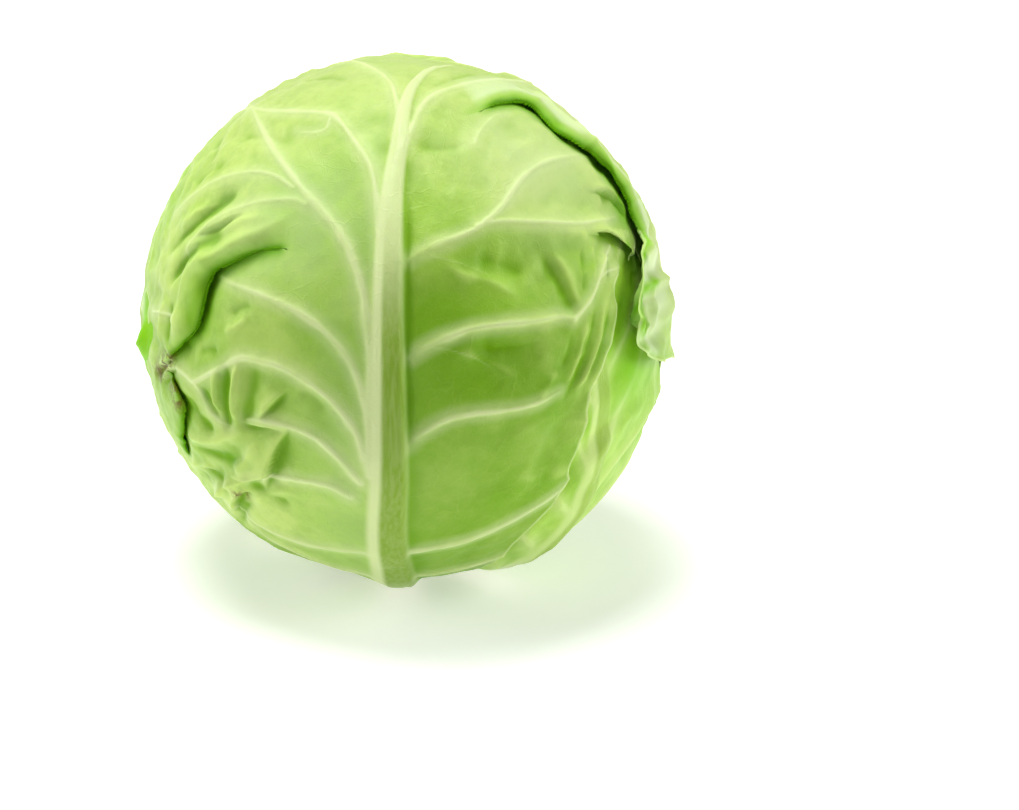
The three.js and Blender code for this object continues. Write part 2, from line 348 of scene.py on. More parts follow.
def branches(ribs, seed, spacing=9.0, size=1.0):
    """Fine veins that leave the ribs on both sides and curve towards the margin."""
    rng = np.random.default_rng(seed)
    out = []
    for v in ribs:
        line = v["line"]
        length = np.linalg.norm(np.diff(line, axis=0), axis=1).sum()
        s = along(line) * length
        at, turn = rng.uniform(2, spacing), rng.choice([-1, 1])
        while at < length - 3:
            j = min(int(np.searchsorted(s, at)), len(line) - 2)
            g = line[j + 1] - line[j]
            g /= max(np.linalg.norm(g), 1e-6)
            a = turn * rng.uniform(0.65, 1.15)
            ln = size * rng.uniform(5, 15)
            p, q = [line[j]], np.array([g[0] * math.cos(a) - g[1] * math.sin(a), g[0] * math.sin(a) + g[1] * math.cos(a)])
            for _ in range(4):
                p.append(p[-1] + q * ln / 4)
                q = q + g * rng.uniform(0.0, 0.3) + rng.normal(0, 0.16, 2)
                q /= np.linalg.norm(q)
            k = (1 - 0.5 * at / length) * v["tone"]
            out.append(rib(np.array(p), 0.6 * k + 0.2, 0.25, 0.07 * k, 0.01, tent=0.3 * k, reach=4.2, tone=0.3 * k))
            turn = -turn if rng.uniform() < 0.75 else turn
            at += spacing * rng.uniform(0.5, 1.3)
    return out


def ribs_over(grid, ribs):
    relief, tent = np.zeros((grid.ny, grid.nx)), np.zeros((grid.ny, grid.nx))
    tone, near = np.zeros_like(relief), np.full_like(relief, 14.0)
    uneven = 1.0 + 0.28 * grid.noise(6.0, 901) + 0.14 * grid.noise(2.6, 902)
    for v in ribs:
        d, _, t = line_field(grid, v["line"], 3.2 * v["reach"])
        hit = d < 500
        w = 0.82 * (v["w0"] + (v["w1"] - v["w0"]) * t) * uneven
        h = 0.8 * (v["h0"] + (v["h1"] - v["h0"]) * t)
        fade = smooth((1.0 - t) / 0.25) * 0.85 + 0.15
        rise = v["start"] + (1 - v["start"]) * smooth(t / 0.3)
        h = h * rise
        relief = np.maximum(relief, np.where(hit, h * np.exp(-((d / w) ** 2)), 0))
        soft = np.sqrt(d * d + 0.8 * w * w) - 0.9 * w
        tent += np.where(hit, v["tent"] * fade * np.exp(-soft / v["reach"]), 0) ** 4
        tone = np.maximum(tone, np.where(hit, v["tone"] * np.exp(-((d / (1.05 * w)) ** 2)) * (0.35 + 0.65 * fade) * rise, 0))
        if v["tone"] > 0.5:
            near = np.minimum(near, np.where(hit, np.maximum(d - w, 0), 14.0))
    return relief, tent**0.25, tone, near


def folds_over(grid, folds):
    """Creases and crests: sharp along the line, dying out towards its ends."""
    out = np.zeros((grid.ny, grid.nx))
    for line, h, wd in folds:
        d, _, t = line_field(grid, line, 3.5 * wd)
        cusp = np.exp(-(np.sqrt(d * d + 0.09) - 0.3) / (0.8 * wd))
        out += np.where(d < 500, 1.5 * h * (0.6 * cusp + 0.4 * np.exp(-((d / wd) ** 2))) * smooth(np.minimum(t, 1 - t) * 3.5 + 0.1), 0)
    return out


def midrib_over(grid, line, widths, heights, skew=0.0):
    """The broad main rib. widths and heights: values at places along the line."""
    d, side, t = line_field(grid, line, 30.0)
    w = np.interp(t, widths[0], widths[1])
    h = np.interp(t, heights[0], heights[1])
    q = side * d / w
    steep = np.where(q * skew > 0, 11.0, 3.0)
    flat = 1 / (1 + np.abs(q) ** steep)
    crown = 0.86 + 0.14 * np.exp(-(q**2) * 1.2)
    groove = -0.16 * np.exp(-(((np.abs(q) - 0.55) / 0.16) ** 2))
    relief = np.where(d < 500, h * flat * (crown + groove * 0.5), 0)
    return relief, np.where(d < 28, q, 9.0), np.where(d < 500, t, 0), w


def pinnate(leaf, seed, first=-66, last=56, pairs=8):
    """The ribs of a leaf that the eye doesn't know rib by rib: a midrib with forked side ribs."""
    rng = np.random.default_rng(seed)
    top = rim_at(leaf, np.array([0.0]))[0] * K
    foot = -rim_at(leaf, np.array([180.0]))[0] * K
    bend = rng.uniform(-3, 3)
    mains = {-1: [], 1: []}
    ys = np.linspace(foot, top * 0.9, 9)
    mid = smooth_line(np.stack([bend * np.sin((ys - foot) / (top - foot) * 3.0), ys], -1), 2.5)
    out = []
    for i in range(pairs):
        for s in (-1, 1):
            y0 = (first + (last - first) * (i + (0.32 if s > 0 else 0.0)) / pairs) * K + rng.uniform(-3, 3)
            x0 = np.interp(y0, mid[:, 1], mid[:, 0])
            start = np.array([x0 + s * 2.0, y0])
            psi = np.degrees(np.arctan2(s * 60, y0 / K + 26))
            reach = rim_at(leaf, np.array([psi]))[0] * K * rng.uniform(0.84, 0.94)
            tip = np.array([math.sin(psi * DEG), math.cos(psi * DEG)]) * reach
            span = tip - start
            if np.linalg.norm(span) < 20:
                continue
            perp = np.array([-span[1], span[0]]) / np.linalg.norm(span) * s
            bow = rng.uniform(0.06, 0.13) * np.linalg.norm(span)
            pts = [start + span * u - perp * bow * math.sin(math.pi * u**0.8) * -1 + rng.normal(0, 0.012, 2) * np.linalg.norm(span) * (0 < u < 1) for u in (0, 0.18, 0.38, 0.58, 0.78, 1)]
            k = 1 - 0.55 * i / pairs
            out.append(rib(pts, 1.6 * k + 0.4, 0.5, 1.25 * k, 0.2, tent=1.8 * k + 0.4, reach=8.0))
            line = smooth_line(pts)
            mains[s].append(line)
            for u, turn, size in ((0.42, -1, 0.5), (0.66, 1, 0.42), (0.8, -1, 0.3)):
                j = int(u * (len(line) - 2))
                g = line[j + 1] - line[j]
                g /= np.linalg.norm(g)
                c, sn = math.cos(0.72), math.sin(0.72) * turn * s * -1
                h = np.array([g[0] * c - g[1] * sn, g[0] * sn + g[1] * c])
                ln = size * np.linalg.norm(span) * rng.uniform(0.7, 1.1) * 0.62
                side_pts = [line[j], line[j] + h * ln * 0.4, line[j] + (h * 0.8 + g * 0.35) * ln]
                out.append(rib(side_pts, 0.8 * k + 0.2, 0.35, 0.5 * k, 0.05, tent=0.8 * k, reach=5.5, tone=0.7))
    # the blade sags between the ribs, and creases run across it, most of them near the margin
    folds = []
    for s in (-1, 1):
        for a, b in zip(mains[s][:-1], mains[s][1:]):
            u = np.linspace(0.22, 0.95, 6)
            la, lb = len(a) - 1, len(b) - 1
            pick = lambda line, n, w: np.stack([np.interp(w * n, np.arange(n + 1), line[:, c]) for c in (0, 1)], -1)
            m = 0.5 * (pick(a, la, u) + pick(b, lb, u)) + rng.normal(0, 1.6, (6, 2))
            folds.append((m, -rng.uniform(0.7, 1.3), rng.uniform(4.0, 6.0)))
            for _ in range(3):
                u0 = rng.uniform(0.3, 0.75)
                w = rng.uniform(0.2, 0.8)
                q = np.linspace(u0, u0 + rng.uniform(0.15, 0.3), 4)
                c = (1 - w) * pick(a, la, q) + w * pick(b, lb, q + rng.uniform(-0.12, 0.12)) + rng.normal(0, 0.8, (4, 2))
                h = rng.uniform(0.5, 1.1) * rng.choice([-1, 1])
                folds.append((c, h, rng.uniform(1.5, 2.6)))
                side = c[-1] - c[0]
                side = np.array([-side[1], side[0]]) / max(np.linalg.norm(side), 1e-6)
                folds.append((c + side * rng.uniform(3.0, 4.5), -0.8 * h, rng.uniform(1.6, 2.6)))
    for psi in rng.uniform(0, 360, 14):
        if 150 < psi < 210:
            continue
        edge = rim_at(leaf, np.array([psi]))[0] * K
        t = np.linspace(rng.uniform(0.66, 0.8), rng.uniform(0.94, 1.0), 4)
        a = (psi + rng.uniform(-6, 6) * (t - 0.8) / 0.2) * DEG
        folds.append((np.stack([np.sin(a), np.cos(a)], -1) * (edge * t)[:, None], rng.uniform(0.8, 1.5) * rng.choice([-1, 1]), rng.uniform(1.8, 3.0)))
    return mid, out, folds


# ------------------------------------------------------------------ the front leaf's own features
FRONT = LEAVES[BY_NAME["front_leaf"]]


def front(pts, rad=HEAD_R):
    """Chart points seen at these frame positions; a third number is the radius there."""
    return np.vstack([seen_at(FRONT, [p[:2]], p[2] if len(p) > 2 else rad) for p in pts])


def front_midrib():
    p = front([(389, 470), (388.5, 400), (388, 300), (392, 200), (398.5, 150), (405, 112), (413, 90), (425, 75), (440, 66)])
    foot = np.array([[0.5, -90 * K], [-0.5, -72 * K], [-1.5, -52 * K], [-2.4, -34 * K]])
    tip = p[-1] + np.array([[2.2, 2.4], [5.0, 4.2]]) * K
    return smooth_line(np.vstack([foot, p, tip]), 2.0)


def front_ribs():
    r = []
    # left of the midrib
    r.append(rib(front([(371, 470), (370.5, 410), (371, 360), (366, 306), (357, 269), (342, 236), (322, 211), (305, 192), (275, 151), (257, 114), (244, 96)]), 2.6, 1.0, 1.5, 0.5, tent=1.3, reach=9))
    r.append(rib(front([(380, 300), (380, 262), (379, 225), (377, 199), (371, 170), (357, 147), (338, 123), (320, 118), (268, 116), (246, 112), (225, 116)]), 1.8, 0.9, 1.0, 0.4, tent=1.3, reach=8))
    r.append(rib(front([(332, 122), (327, 132), (313, 135), (298, 134)]), 0.8, 0.5, 0.4, 0.1, tent=0.4, reach=5, tone=0.7))
    r.append(rib(front([(398, 138), (397, 110), (390, 88), (375, 76), (354, 67), (340, 63)]), 1.4, 0.8, 0.9, 0.4, tent=1.2, reach=7))
    r.append(rib(front([(296, 190), (275, 177), (249, 175), (216, 184), (187, 203), (172, 214)]), 1.0, 0.6, 0.6, 0.3, tent=1.3, reach=6, tone=0.8))
    r.append(rib(front([(308, 206), (292, 201), (258, 205), (223, 219), (205, 232), (189, 249), (180, 268)]), 1.1, 0.7, 0.5, 0.3, tent=1.5, reach=6, tone=0.55))
    r.append(rib(front([(370, 425), (361, 387), (343, 350), (315, 322), (281, 302), (246, 288), (217, 276)]), 1.9, 1.2, 0.9, 0.7, tent=1.2, reach=9))
    r.append(rib(front([(366, 455), (356, 428), (333, 400), (304, 377), (280, 364), (267, 361), (244, 357), (219, 370), (199, 380), (190, 374), (180, 368), (166, 363)]), 1.9, 0.9, 0.9, 0.6, tent=1.7, reach=8))
    r.append(rib(front([(199, 381), (205, 393), (212, 410), (222, 420), (232, 426)]), 0.9, 0.7, 0.6, 0.2, tent=1.3, reach=5, tone=0.7))
    r.append(rib(front([(362, 478), (340, 455), (315, 435), (281, 422), (262, 419), (248, 419)]), 1.9, 1.0, 0.9, 0.5, tent=1.3, reach=8))
    r.append(rib(front([(352, 492), (330, 482), (304, 478), (281, 476), (267, 476), (249, 475)]), 1.7, 0.9, 0.7, 0.4, tent=1.3, reach=7))
    r.append(rib(front([(177, 318), (163, 312), (150, 311)]), 0.9, 0.6, 0.5, 0.3, tent=0.6, reach=5))
    # right of the midrib
    r.append(rib(front([(405, 150), (412, 132), (422, 111), (435, 100), (460, 90), (486, 85), (513, 84), (533, 88), (553, 96), (572, 107)]), 1.6, 1.0, 1.0, 0.5, tent=1.2, reach=8))
    r.append(rib(front([(474, 146), (478, 135), (490, 121), (506, 113)]), 0.8, 0.5, 0.45, 0.15, tent=0.7, reach=6, tone=0.7))
    r.append(rib(front([(408, 262), (416, 256), (441, 245), (472, 233), (485, 223), (498, 211), (511, 192), (523, 178), (543, 166), (576, 157)]), 1.5, 0.9, 0.9, 0.5, tent=2.1, reach=9, start=0.3))
    r.append(rib(front([(474, 229), (490, 225), (513, 224), (564, 225), (590, 222), (617, 216)]), 1.1, 0.7, 0.7, 0.4, tent=2.1, reach=8))
    r.append(rib(front([(409, 358), (421, 349), (447, 337), (478, 327), (523, 322), (556, 317), (572, 318)]), 1.5, 1.1, 0.9, 0.8, tent=2.3, reach=10, start=0.3))
    r.append(rib(front([(571, 319), (580, 309), (590, 297), (600, 276), (606, 260), (615, 243)]), 1.1, 0.8, 0.8, 0.5, tent=1.6, reach=6))
    r.append(rib(front([(600, 277), (610, 271), (623, 266)]), 0.9, 0.6, 0.5, 0.3, tent=0.8, reach=5))
    r.append(rib(front([(408, 444), (420, 433), (446, 419), (471, 413), (499, 410), (530, 404), (560, 392)]), 1.4, 0.8, 0.8, 0.4, tent=1.5, reach=9, start=0.3))
    r.append(rib(front([(430, 258), (450, 262), (470, 268), (500, 280)]), 0.8, 0.4, 0.25, 0.05, tent=0.5, reach=6, tone=0.35))
    r.append(rib(front([(428, 346), (450, 350), (475, 358), (500, 374)]), 0.9, 0.4, 0.3, 0.05, tent=0.6, reach=6, tone=0.4))
    # low on the leaf, where the frame doesn't reach
    for s in (-1, 1):
        for y0, x1, y1 in ((-40, 44, -27 if s > 0 else -40), (-54, 40, -46)):
            a, b = np.array([s * 3.5, y0]), np.array([s * x1, y1])
            m = (a + b) / 2 + np.array([0, -2.5])
            r.append(rib(np.array([a, m, b]) * K, 1.8, 0.8, 0.9, 0.3, tent=1.5, reach=9))
    return r


# Soft folds of the blade: a ridge where positive, a valley where negative.
FRONT_FOLDS = [
    # (points, height in mm, half width in mm)
    # upper left, above the pleat
    ([(163, 262), (177, 237), (196, 223), (212, 211), (235, 195), (248, 184)], -1.8, 3.4),
    ([(168, 250), (182, 229), (200, 214), (222, 202)], 1.1, 2.4),
    ([(168, 292), (172, 276), (184, 257), (198, 247), (214, 238), (240, 226)], -2.1, 2.7),
    ([(176, 262), (189, 250), (206, 241), (228, 231), (254, 221), (276, 216)], 1.7, 2.2),
    ([(176, 344), (180, 316), (186, 292), (194, 272), (208, 258), (236, 243), (267, 229), (298, 214)], 1.9, 3.2),
    ([(196, 300), (204, 280), (218, 264), (238, 252), (262, 246)], -0.9, 2.0),
    ([(168, 345), (170, 320), (172, 300)], -0.9, 2.0),
    ([(160, 345), (163, 318), (167, 296)], 0.9, 1.8),
    ([(190, 188), (215, 170), (240, 158)], -0.7, 4.5),
    ([(236, 140), (270, 140), (300, 148)], -0.6, 5.0),
    ([(212, 160), (232, 146), (252, 138)], 0.5, 2.8),
    # where the pleats gather
    ([(157, 376), (166, 366), (176, 358)], -0.8, 1.0),
    ([(163, 379), (170, 369), (179, 362)], 0.7, 1.0),
    ([(157, 367), (165, 361), (174, 355)], 0.7, 1.0),
    ([(166, 384), (172, 376), (180, 366)], -0.6, 1.0),
    # lower left
    ([(242, 360), (240, 374), (238, 390), (236, 408), (240, 424)], 1.5, 1.9),
    ([(221, 368), (219, 384), (218.5, 398), (222, 412)], 1.3, 1.6),
    ([(231, 356), (229, 380), (227, 402), (230, 424), (236, 438)], -1.0, 2.1),
    ([(203, 382), (209, 394), (215, 408), (224, 424)], -0.9, 2.0),
    ([(260, 358), (256, 382), (250, 406), (244, 428)], -0.9, 3.8),
    ([(189, 388), (195, 406), (206, 422), (220, 434)], -1.0, 3.2),
    ([(184, 430), (196, 436), (213, 439), (232, 434), (250, 428)], 1.6, 3.2),
    ([(262, 436), (254, 448), (244, 462), (238, 472)], 1.3, 2.8),
    ([(192, 444), (208, 453), (226, 459), (244, 456), (256, 446)], -1.0, 3.2),
    ([(196, 464), (210, 472), (224, 482), (232, 494)], -0.9, 2.8),
    ([(217, 496), (224, 486), (236, 480), (252, 478), (270, 480)], 1.8, 2.2),
    ([(192, 462), (202, 466), (212, 466)], 0.9, 2.2),
    ([(256, 502), (264, 494), (282, 490), (300, 492)], 0.8, 3.0),
    ([(250, 482), (264, 489), (280, 498), (296, 506)], -0.7, 3.4),
    ([(243, 522), (247, 508), (258, 498)], -0.7, 2.2),
    ([(300, 388), (316, 398), (330, 412)], -0.5, 3.2),
    ([(232, 316), (244, 308), (256, 306)], -0.6, 2.2),
    ([(226, 332), (240, 326), (252, 318)], 0.6, 1.8),
    ([(198, 352), (210, 349), (222, 352)], -0.7, 2.4),
    # between the ribs at the right
    ([(526, 240), (540, 254), (550, 270), (558, 286)], -0.5, 4.0),
    ([(540, 252), (552, 272), (563, 294), (574, 320)], -0.8, 2.4),
    ([(551, 252), (562, 270), (570, 290), (577, 308)], 0.8, 2.4),
    ([(510, 236), (528, 262), (544, 296)], -0.5, 6.0),
    ([(470, 258), (500, 264), (530, 276)], -0.9, 6.5),
    ([(440, 262), (462, 276), (492, 282), (520, 300)], 0.7, 2.4),
    ([(450, 350), (476, 356), (500, 366), (520, 382)], 0.6, 2.4),
    ([(470, 346), (505, 348), (548, 340)], -1.2, 6.0),
    ([(595, 300), (593, 326), (588, 350), (577, 380), (562, 408)], -0.6, 1.6),
    ([(603, 298), (602, 320), (598, 344), (588, 372), (576, 398)], 0.9, 1.4),
    ([(612, 296), (611, 322), (605, 346), (595, 372), (584, 396)], -0.6, 1.4),
    ([(584, 314), (582, 336), (577, 360), (565, 390)], 0.7, 1.7),
    ([(571, 330), (568, 350), (560, 374)], -0.5, 1.8),
    ([(584, 240), (582, 262), (583, 284), (577, 300)], -0.5, 1.4),
    ([(592, 244), (594, 262), (592, 284)], 0.5, 1.4),
    ([(608, 246), (611, 262), (611, 282)], -0.6, 1.4),
    ([(536, 400), (548, 384), (556, 366)], 0.6, 3.0),
    # beside the flap
    ([(560, 236), (578, 234), (590, 240)], 0.6, 2.4),
    ([(500, 168), (520, 150), (546, 142)], 0.5, 4.0),
    ([(412, 147), (440, 150), (468, 146)], -0.5, 3.0),
    ([(520, 88), (534, 96), (552, 112), (572, 130), (590, 148), (604, 166), (616, 184)], 1.2, 2.0),
    ([(560, 101), (572, 113), (586, 126), (598, 139)], -0.8, 1.6),
    ([(570, 102), (586, 118), (601, 136), (612, 154)], 0.8, 1.8),
    ([(632, 196), (640, 212), (648, 230)], 0.9, 1.8),
    ([(409.5, 200), (408.5, 260), (407.5, 330), (408, 400), (409, 460)], -0.6, 1.2),
    # the top
    ([(300, 84), (330, 80), (352, 86)], -0.6, 4.0),
    ([(430, 92), (452, 80), (480, 74)], -0.5, 3.0),
]

# Sharp folds: one side of the line stands higher and drops steeply to the other.
FRONT_STEPS = [
    # (points, rise in mm, dip in mm, side that is higher (+1 left of travel), how far the rise reaches in mm, taper at the end)
    ([(584, 237), (590, 234), (597, 232.3), (606, 231.9), (613, 234), (621, 239), (629, 245.5), (637, 252.5), (643, 260)], 1.7, 1.8, 1.0, 5.0, 0.0),
    ([(584, 192), (595, 190), (605, 192), (614, 197.5), (622, 206), (630, 217)], 1.0, 1.5, 1.0, 3.6, 2.0),
    ([(258, 420), (264, 414), (272, 405), (283, 394), (292, 387)], 1.5, 1.3, 1.0, 6.0, 1.0),
    ([(296, 421), (289, 429), (282, 440), (277, 449), (273, 462), (269, 478), (268, 492)], 2.2, 1.6, -1.0, 8.0, 1.0),
    ([(228, 474), (238, 475.5), (252, 476.5), (268, 473.5), (282, 468)], 1.6, 1.4, 1.0, 4.5, 1.0),
    ([(236, 514), (237, 506), (238, 499), (243, 492), (252, 491), (262, 496)], 1.7, 1.5, 1.0, 5.0, 1.0),
    ([(240, 421), (249, 424), (262, 425.5), (276, 427), (292, 430)], 0.9, 1.3, 1.0, 3.5, 1.0),
    ([(196, 239), (208, 233), (222, 227), (238, 219), (256, 213)], 0.9, 1.1, 1.0, 4.0, 1.0),
]

# Pleats: the leaf is folded over itself along a line, and the fold's upper layer has a rolled edge.
# side: which side of the line's travel lies on top (+1 left). Values along the line: (place, value).
FRONT_PLEATS = [
    dict(  # the loose flap at the upper right, and its free margin down to the silhouette
        pts=[(474, 112), (482.5, 109.5), (491.5, 104), (501, 100), (517, 98.5), (537, 106.5), (555, 122.5), (571.5, 136.5), (587.5, 145), (600, 158), (612.5, 172.5), (624, 188),
             (633.5, 205), (642, 221.5), (646, 236.5), (646, 252, 91), (645.5, 270, 92), (643.5, 290, 92.5), (641.5, 305, 92.5), (636.5, 315, 92), (638.5, 331, 93), (641.5, 345, 93), (650.5, 356, 92.5), (661, 362, 91.5), (700, 362)],
        rad=89.5, side=1.0, slit=0.5, tail=1,
        lift=[(0, 0.3), (0.05, 1.6), (0.16, 2.8), (0.3, 3.4), (0.45, 3.8), (0.55, 4.2), (0.64, 5.4), (0.75, 6.2), (0.85, 5.8), (1, 2.4)],
        lift_reach=10.0, over=[(0, 0.8), (0.08, 3.0), (0.2, 4.8), (0.5, 6.0), (0.57, 5.0), (0.65, 3.0), (0.73, 1.4), (1, 0.6)],
        under=[(0, 0.6), (0.1, 1.6), (0.5, 2.2), (0.57, 1.4), (0.64, 0.2), (1, 0)], dip=[(0, 0), (0.1, 1.1), (0.3, 1.3), (0.42, 1.6), (0.56, 1.6), (0.62, 0.8), (1, 0)],
        roll=[(0, 0.3), (0.08, 0.84), (0.38, 0.86), (0.5, 0.95), (0.62, 0.85), (0.75, 0.4), (1, 0.3)], roll_r=2.2, glow=1.0, glow_reach=3.0, pale_highlight=0.85, free=[(0, 0), (0.57, 0), (0.61, 1), (1, 1)]),
    dict(  # the pleat at the left
        pts=[(289, 250.5), (278, 247), (258, 248), (233, 256), (212.5, 266), (204, 279.5), (198, 304.5), (191, 324), (182, 337), (172.5, 351), (167, 360)],
        rad=89.5, side=-1.0, slit=0.5, tail=0,
        lift=[(0, 0.2), (0.12, 1.6), (0.35, 3.0), (0.55, 4.2), (0.8, 3.6), (1, 1.2)],
        lift_reach=8.5, over=[(0, 0.5), (0.15, 3.2), (0.45, 4.6), (0.8, 4.6), (1, 1.0)],
        under=[(0, 0.4), (0.2, 1.6), (0.8, 2.2), (1, 0.6)], dip=[(0, 0), (0.2, 1.6), (0.5, 3.0), (0.85, 2.2), (1, 0.3)],
        roll=[(0, 0.2), (0.15, 0.85), (0.8, 1.0), (1, 0.4)], roll_r=2.6, glow=0.5, glow_reach=3.4, pale_highlight=0.0, free=[(0, 0), (1, 0)]),
    dict(  # the lobe under it at the left silhouette
        pts=[(169, 368), (173, 380), (179.5, 392), (184, 406), (182.5, 424), (180.5, 440), (183, 450), (187, 459)],
        rad=88.5, side=-1.0, slit=0.5, tail=0,
        lift=[(0, 0.2), (0.25, 1.9), (0.6, 2.4), (0.85, 1.5), (1, 0.1)],
        lift_reach=6.5, over=[(0, 0.6), (0.3, 2.9), (0.8, 2.9), (1, 0.6)],
        under=[(0, 0.5), (0.3, 1.6), (0.8, 1.6), (1, 0.5)], dip=[(0, 0), (0.3, 2.2), (0.8, 1.8), (1, 0)],
        roll=[(0, 0.2), (0.3, 0.8), (0.8, 0.8), (1, 0.2)], roll_r=1.7, glow=0.3, glow_reach=2.8, pale_highlight=0.0, free=[(0, 0), (1, 0)]),
]

# The part that is missing between the flap's margin and the leaf's right lobe.
FRONT_NOTCH = [(600, 231.8), (606, 231), (613, 232.5), (621, 236.5), (630, 241.5), (638, 246), (644, 251.5, 90.8), (645.9, 262, 91.5), (645.7, 272, 92), (643.8, 290, 92.5), (641.8, 305, 92.5), (636.8, 315, 92), (638.8, 331, 93), (641.8, 345.3, 93),
               (650.8, 356.5, 92.5), (661.2, 362.4, 91.5), (700, 362.4), (690, 400), (640, 470), (600, 500), (571, 480), (581, 452), (587, 428), (592, 404), (601, 380), (611, 355), (619, 335), (622.5, 315), (622, 300),
               (619, 284), (624.5, 266), (624, 255), (620, 245.5), (614, 238.5), (607, 233.8)]


# ------------------------------------------------------------------ from fields to a closed mesh
def clip_mesh(ok, f):
    """Marching triangles over a grid: keeps f > 0. Returns quads and triangles, and how each new
    point on the cut lies between two grid points (a, b, t)."""
    ny, nx = f.shape
    idx = np.arange(ny * nx).reshape(ny, nx)
    pos = f > 0
    new_a, new_b = [], []
    table = {}

    def edge_ids(a, b, mask, name):
        ids = np.full(mask.shape, -1)
        n = int(mask.sum())
        start = ny * nx + sum(len(x) for x in new_a)
        ids[mask] = start + np.arange(n)
        new_a.append(a[mask])
        new_b.append(b[mask])
        table[name] = ids

    edge_ids(idx[:, :-1], idx[:, 1:], pos[:, :-1] != pos[:, 1:], "h")
    edge_ids(idx[:-1, :], idx[1:, :], pos[:-1, :] != pos[1:, :], "v")
    edge_ids(idx[:-1, :-1], idx[1:, 1:], pos[:-1, :-1] != pos[1:, 1:], "d")
    a, b, c, d = idx[:-1, :-1], idx[:-1, 1:], idx[1:, 1:], idx[1:, :-1]
    pa, pb, pc, pd = pos[:-1, :-1], pos[:-1, 1:], pos[1:, 1:], pos[1:, :-1]
    full = pa & pb & pc & pd
    quads = np.stack([a[full], b[full], c[full], d[full]], -1)
    tris = []
    part = ~full & (pa | pb | pc | pd)
    eh0, eh1 = table["h"][:-1], table["h"][1:]
    ev0, ev1 = table["v"][:, :-1], table["v"][:, 1:]
    ed = table["d"]
    for vs, ps, es in (((a, b, c), (pa, pb, pc), (eh0, ev1, ed)), ((a, c, d), (pa, pc, pd), (ed, eh1, ev0))):
        # edges: es[0] joins vs[0]-vs[1], es[1] joins vs[1]-vs[2], es[2] joins vs[2]-vs[0]
        n = ps[0].astype(int) + ps[1] + ps[2]
        m = part & (n == 3)
        tris.append(np.stack([vs[0][m], vs[1][m], vs[2][m]], -1))
        for k in range(3):
            i, j, l = k, (k + 1) % 3, (k + 2) % 3
            m = part & (n == 1) & ps[i]
            tris.append(np.stack([vs[i][m], es[i][m], es[l][m]], -1))
            m = part & (n == 2) & ~ps[i]
            tris.append(np.stack([es[i][m], vs[j][m], vs[l][m]], -1))
            tris.append(np.stack([es[i][m], vs[l][m], es[l][m]], -1))
    na, nb = np.concatenate(new_a), np.concatenate(new_b)
    g = f.ravel()
    t = g[na] / (g[na] - g[nb])
    return quads, np.vstack(tris), na, nb, np.clip(t, 0.02, 0.98)


def vertex_normals(co, quads, tris):
    n = np.zeros_like(co)
    for poly in (quads, tris):
        if not len(poly):
            continue
        p = co[poly]
        fn = np.cross(p[:, 2] - p[:, 0], p[:, 3] - p[:, 1]) if poly.shape[1] == 4 else np.cross(p[:, 1] - p[:, 0], p[:, 2] - p[:, 0])
        for k in range(poly.shape[1]):
            for ax in range(3):
                n[:, ax] += np.bincount(poly[:, k], fn[:, ax], len(co))
    return n / np.maximum(np.linalg.norm(n, axis=1, keepdims=True), 1e-12)


def largest_part(n, quads, tris):
    """Keeps the faces of the largest connected part."""
    label = np.arange(n)
    edges = np.vstack([quads[:, [0, 1]], quads[:, [1, 2]], quads[:, [2, 3]], tris[:, [0, 1]], tris[:, [1, 2]]])
    while True:
        old = label.copy()
        m = np.minimum(label[edges[:, 0]], label[edges[:, 1]])
        np.minimum.at(label, edges[:, 0], m)
        np.minimum.at(label, edges[:, 1], m)
        label = label[label]
        label = label[label]
        if (label == old).all():
            break
    best = np.bincount(label[quads[:, 0]]).argmax()
    return quads[label[quads[:, 0]] == best], tris[label[tris[:, 0]] == best]


def make_object(name, co, quads, tris, attrs, material, smooth_faces=True):
    """co in mm about the head's middle."""
    me = bpy.data.meshes.new(name)
    co = (co + SHIFT + np.array([0, 0, CENTRE_Z])) / 1000.0
    loops = np.concatenate([quads.ravel(), tris.ravel()]).astype(np.int32)
    sizes = np.concatenate([np.full(len(quads), 4), np.full(len(tris), 3)]).astype(np.int32)
    me.vertices.add(len(co))
    me.vertices.foreach_set("co", co.astype(np.float32).ravel())
    me.loops.add(len(loops))
    me.loops.foreach_set("vertex_index", loops)
    me.polygons.add(len(sizes))
    me.polygons.foreach_set("loop_start", np.r_[0, np.cumsum(sizes)[:-1]].astype(np.int32))
    me.polygons.foreach_set("loop_total", sizes)
    me.update(calc_edges=True)
    me.polygons.foreach_set("use_smooth", np.full(len(sizes), smooth_faces))
    for key, val in attrs.items():
        at = me.attributes.new(key, "FLOAT", "POINT")
        at.data.foreach_set("value", np.ascontiguousarray(val, dtype=np.float32))
    me.materials.append(material)
    me.validate()
    ob = bpy.data.objects.new(name, me)
    bpy.context.scene.collection.objects.link(ob)
    return ob


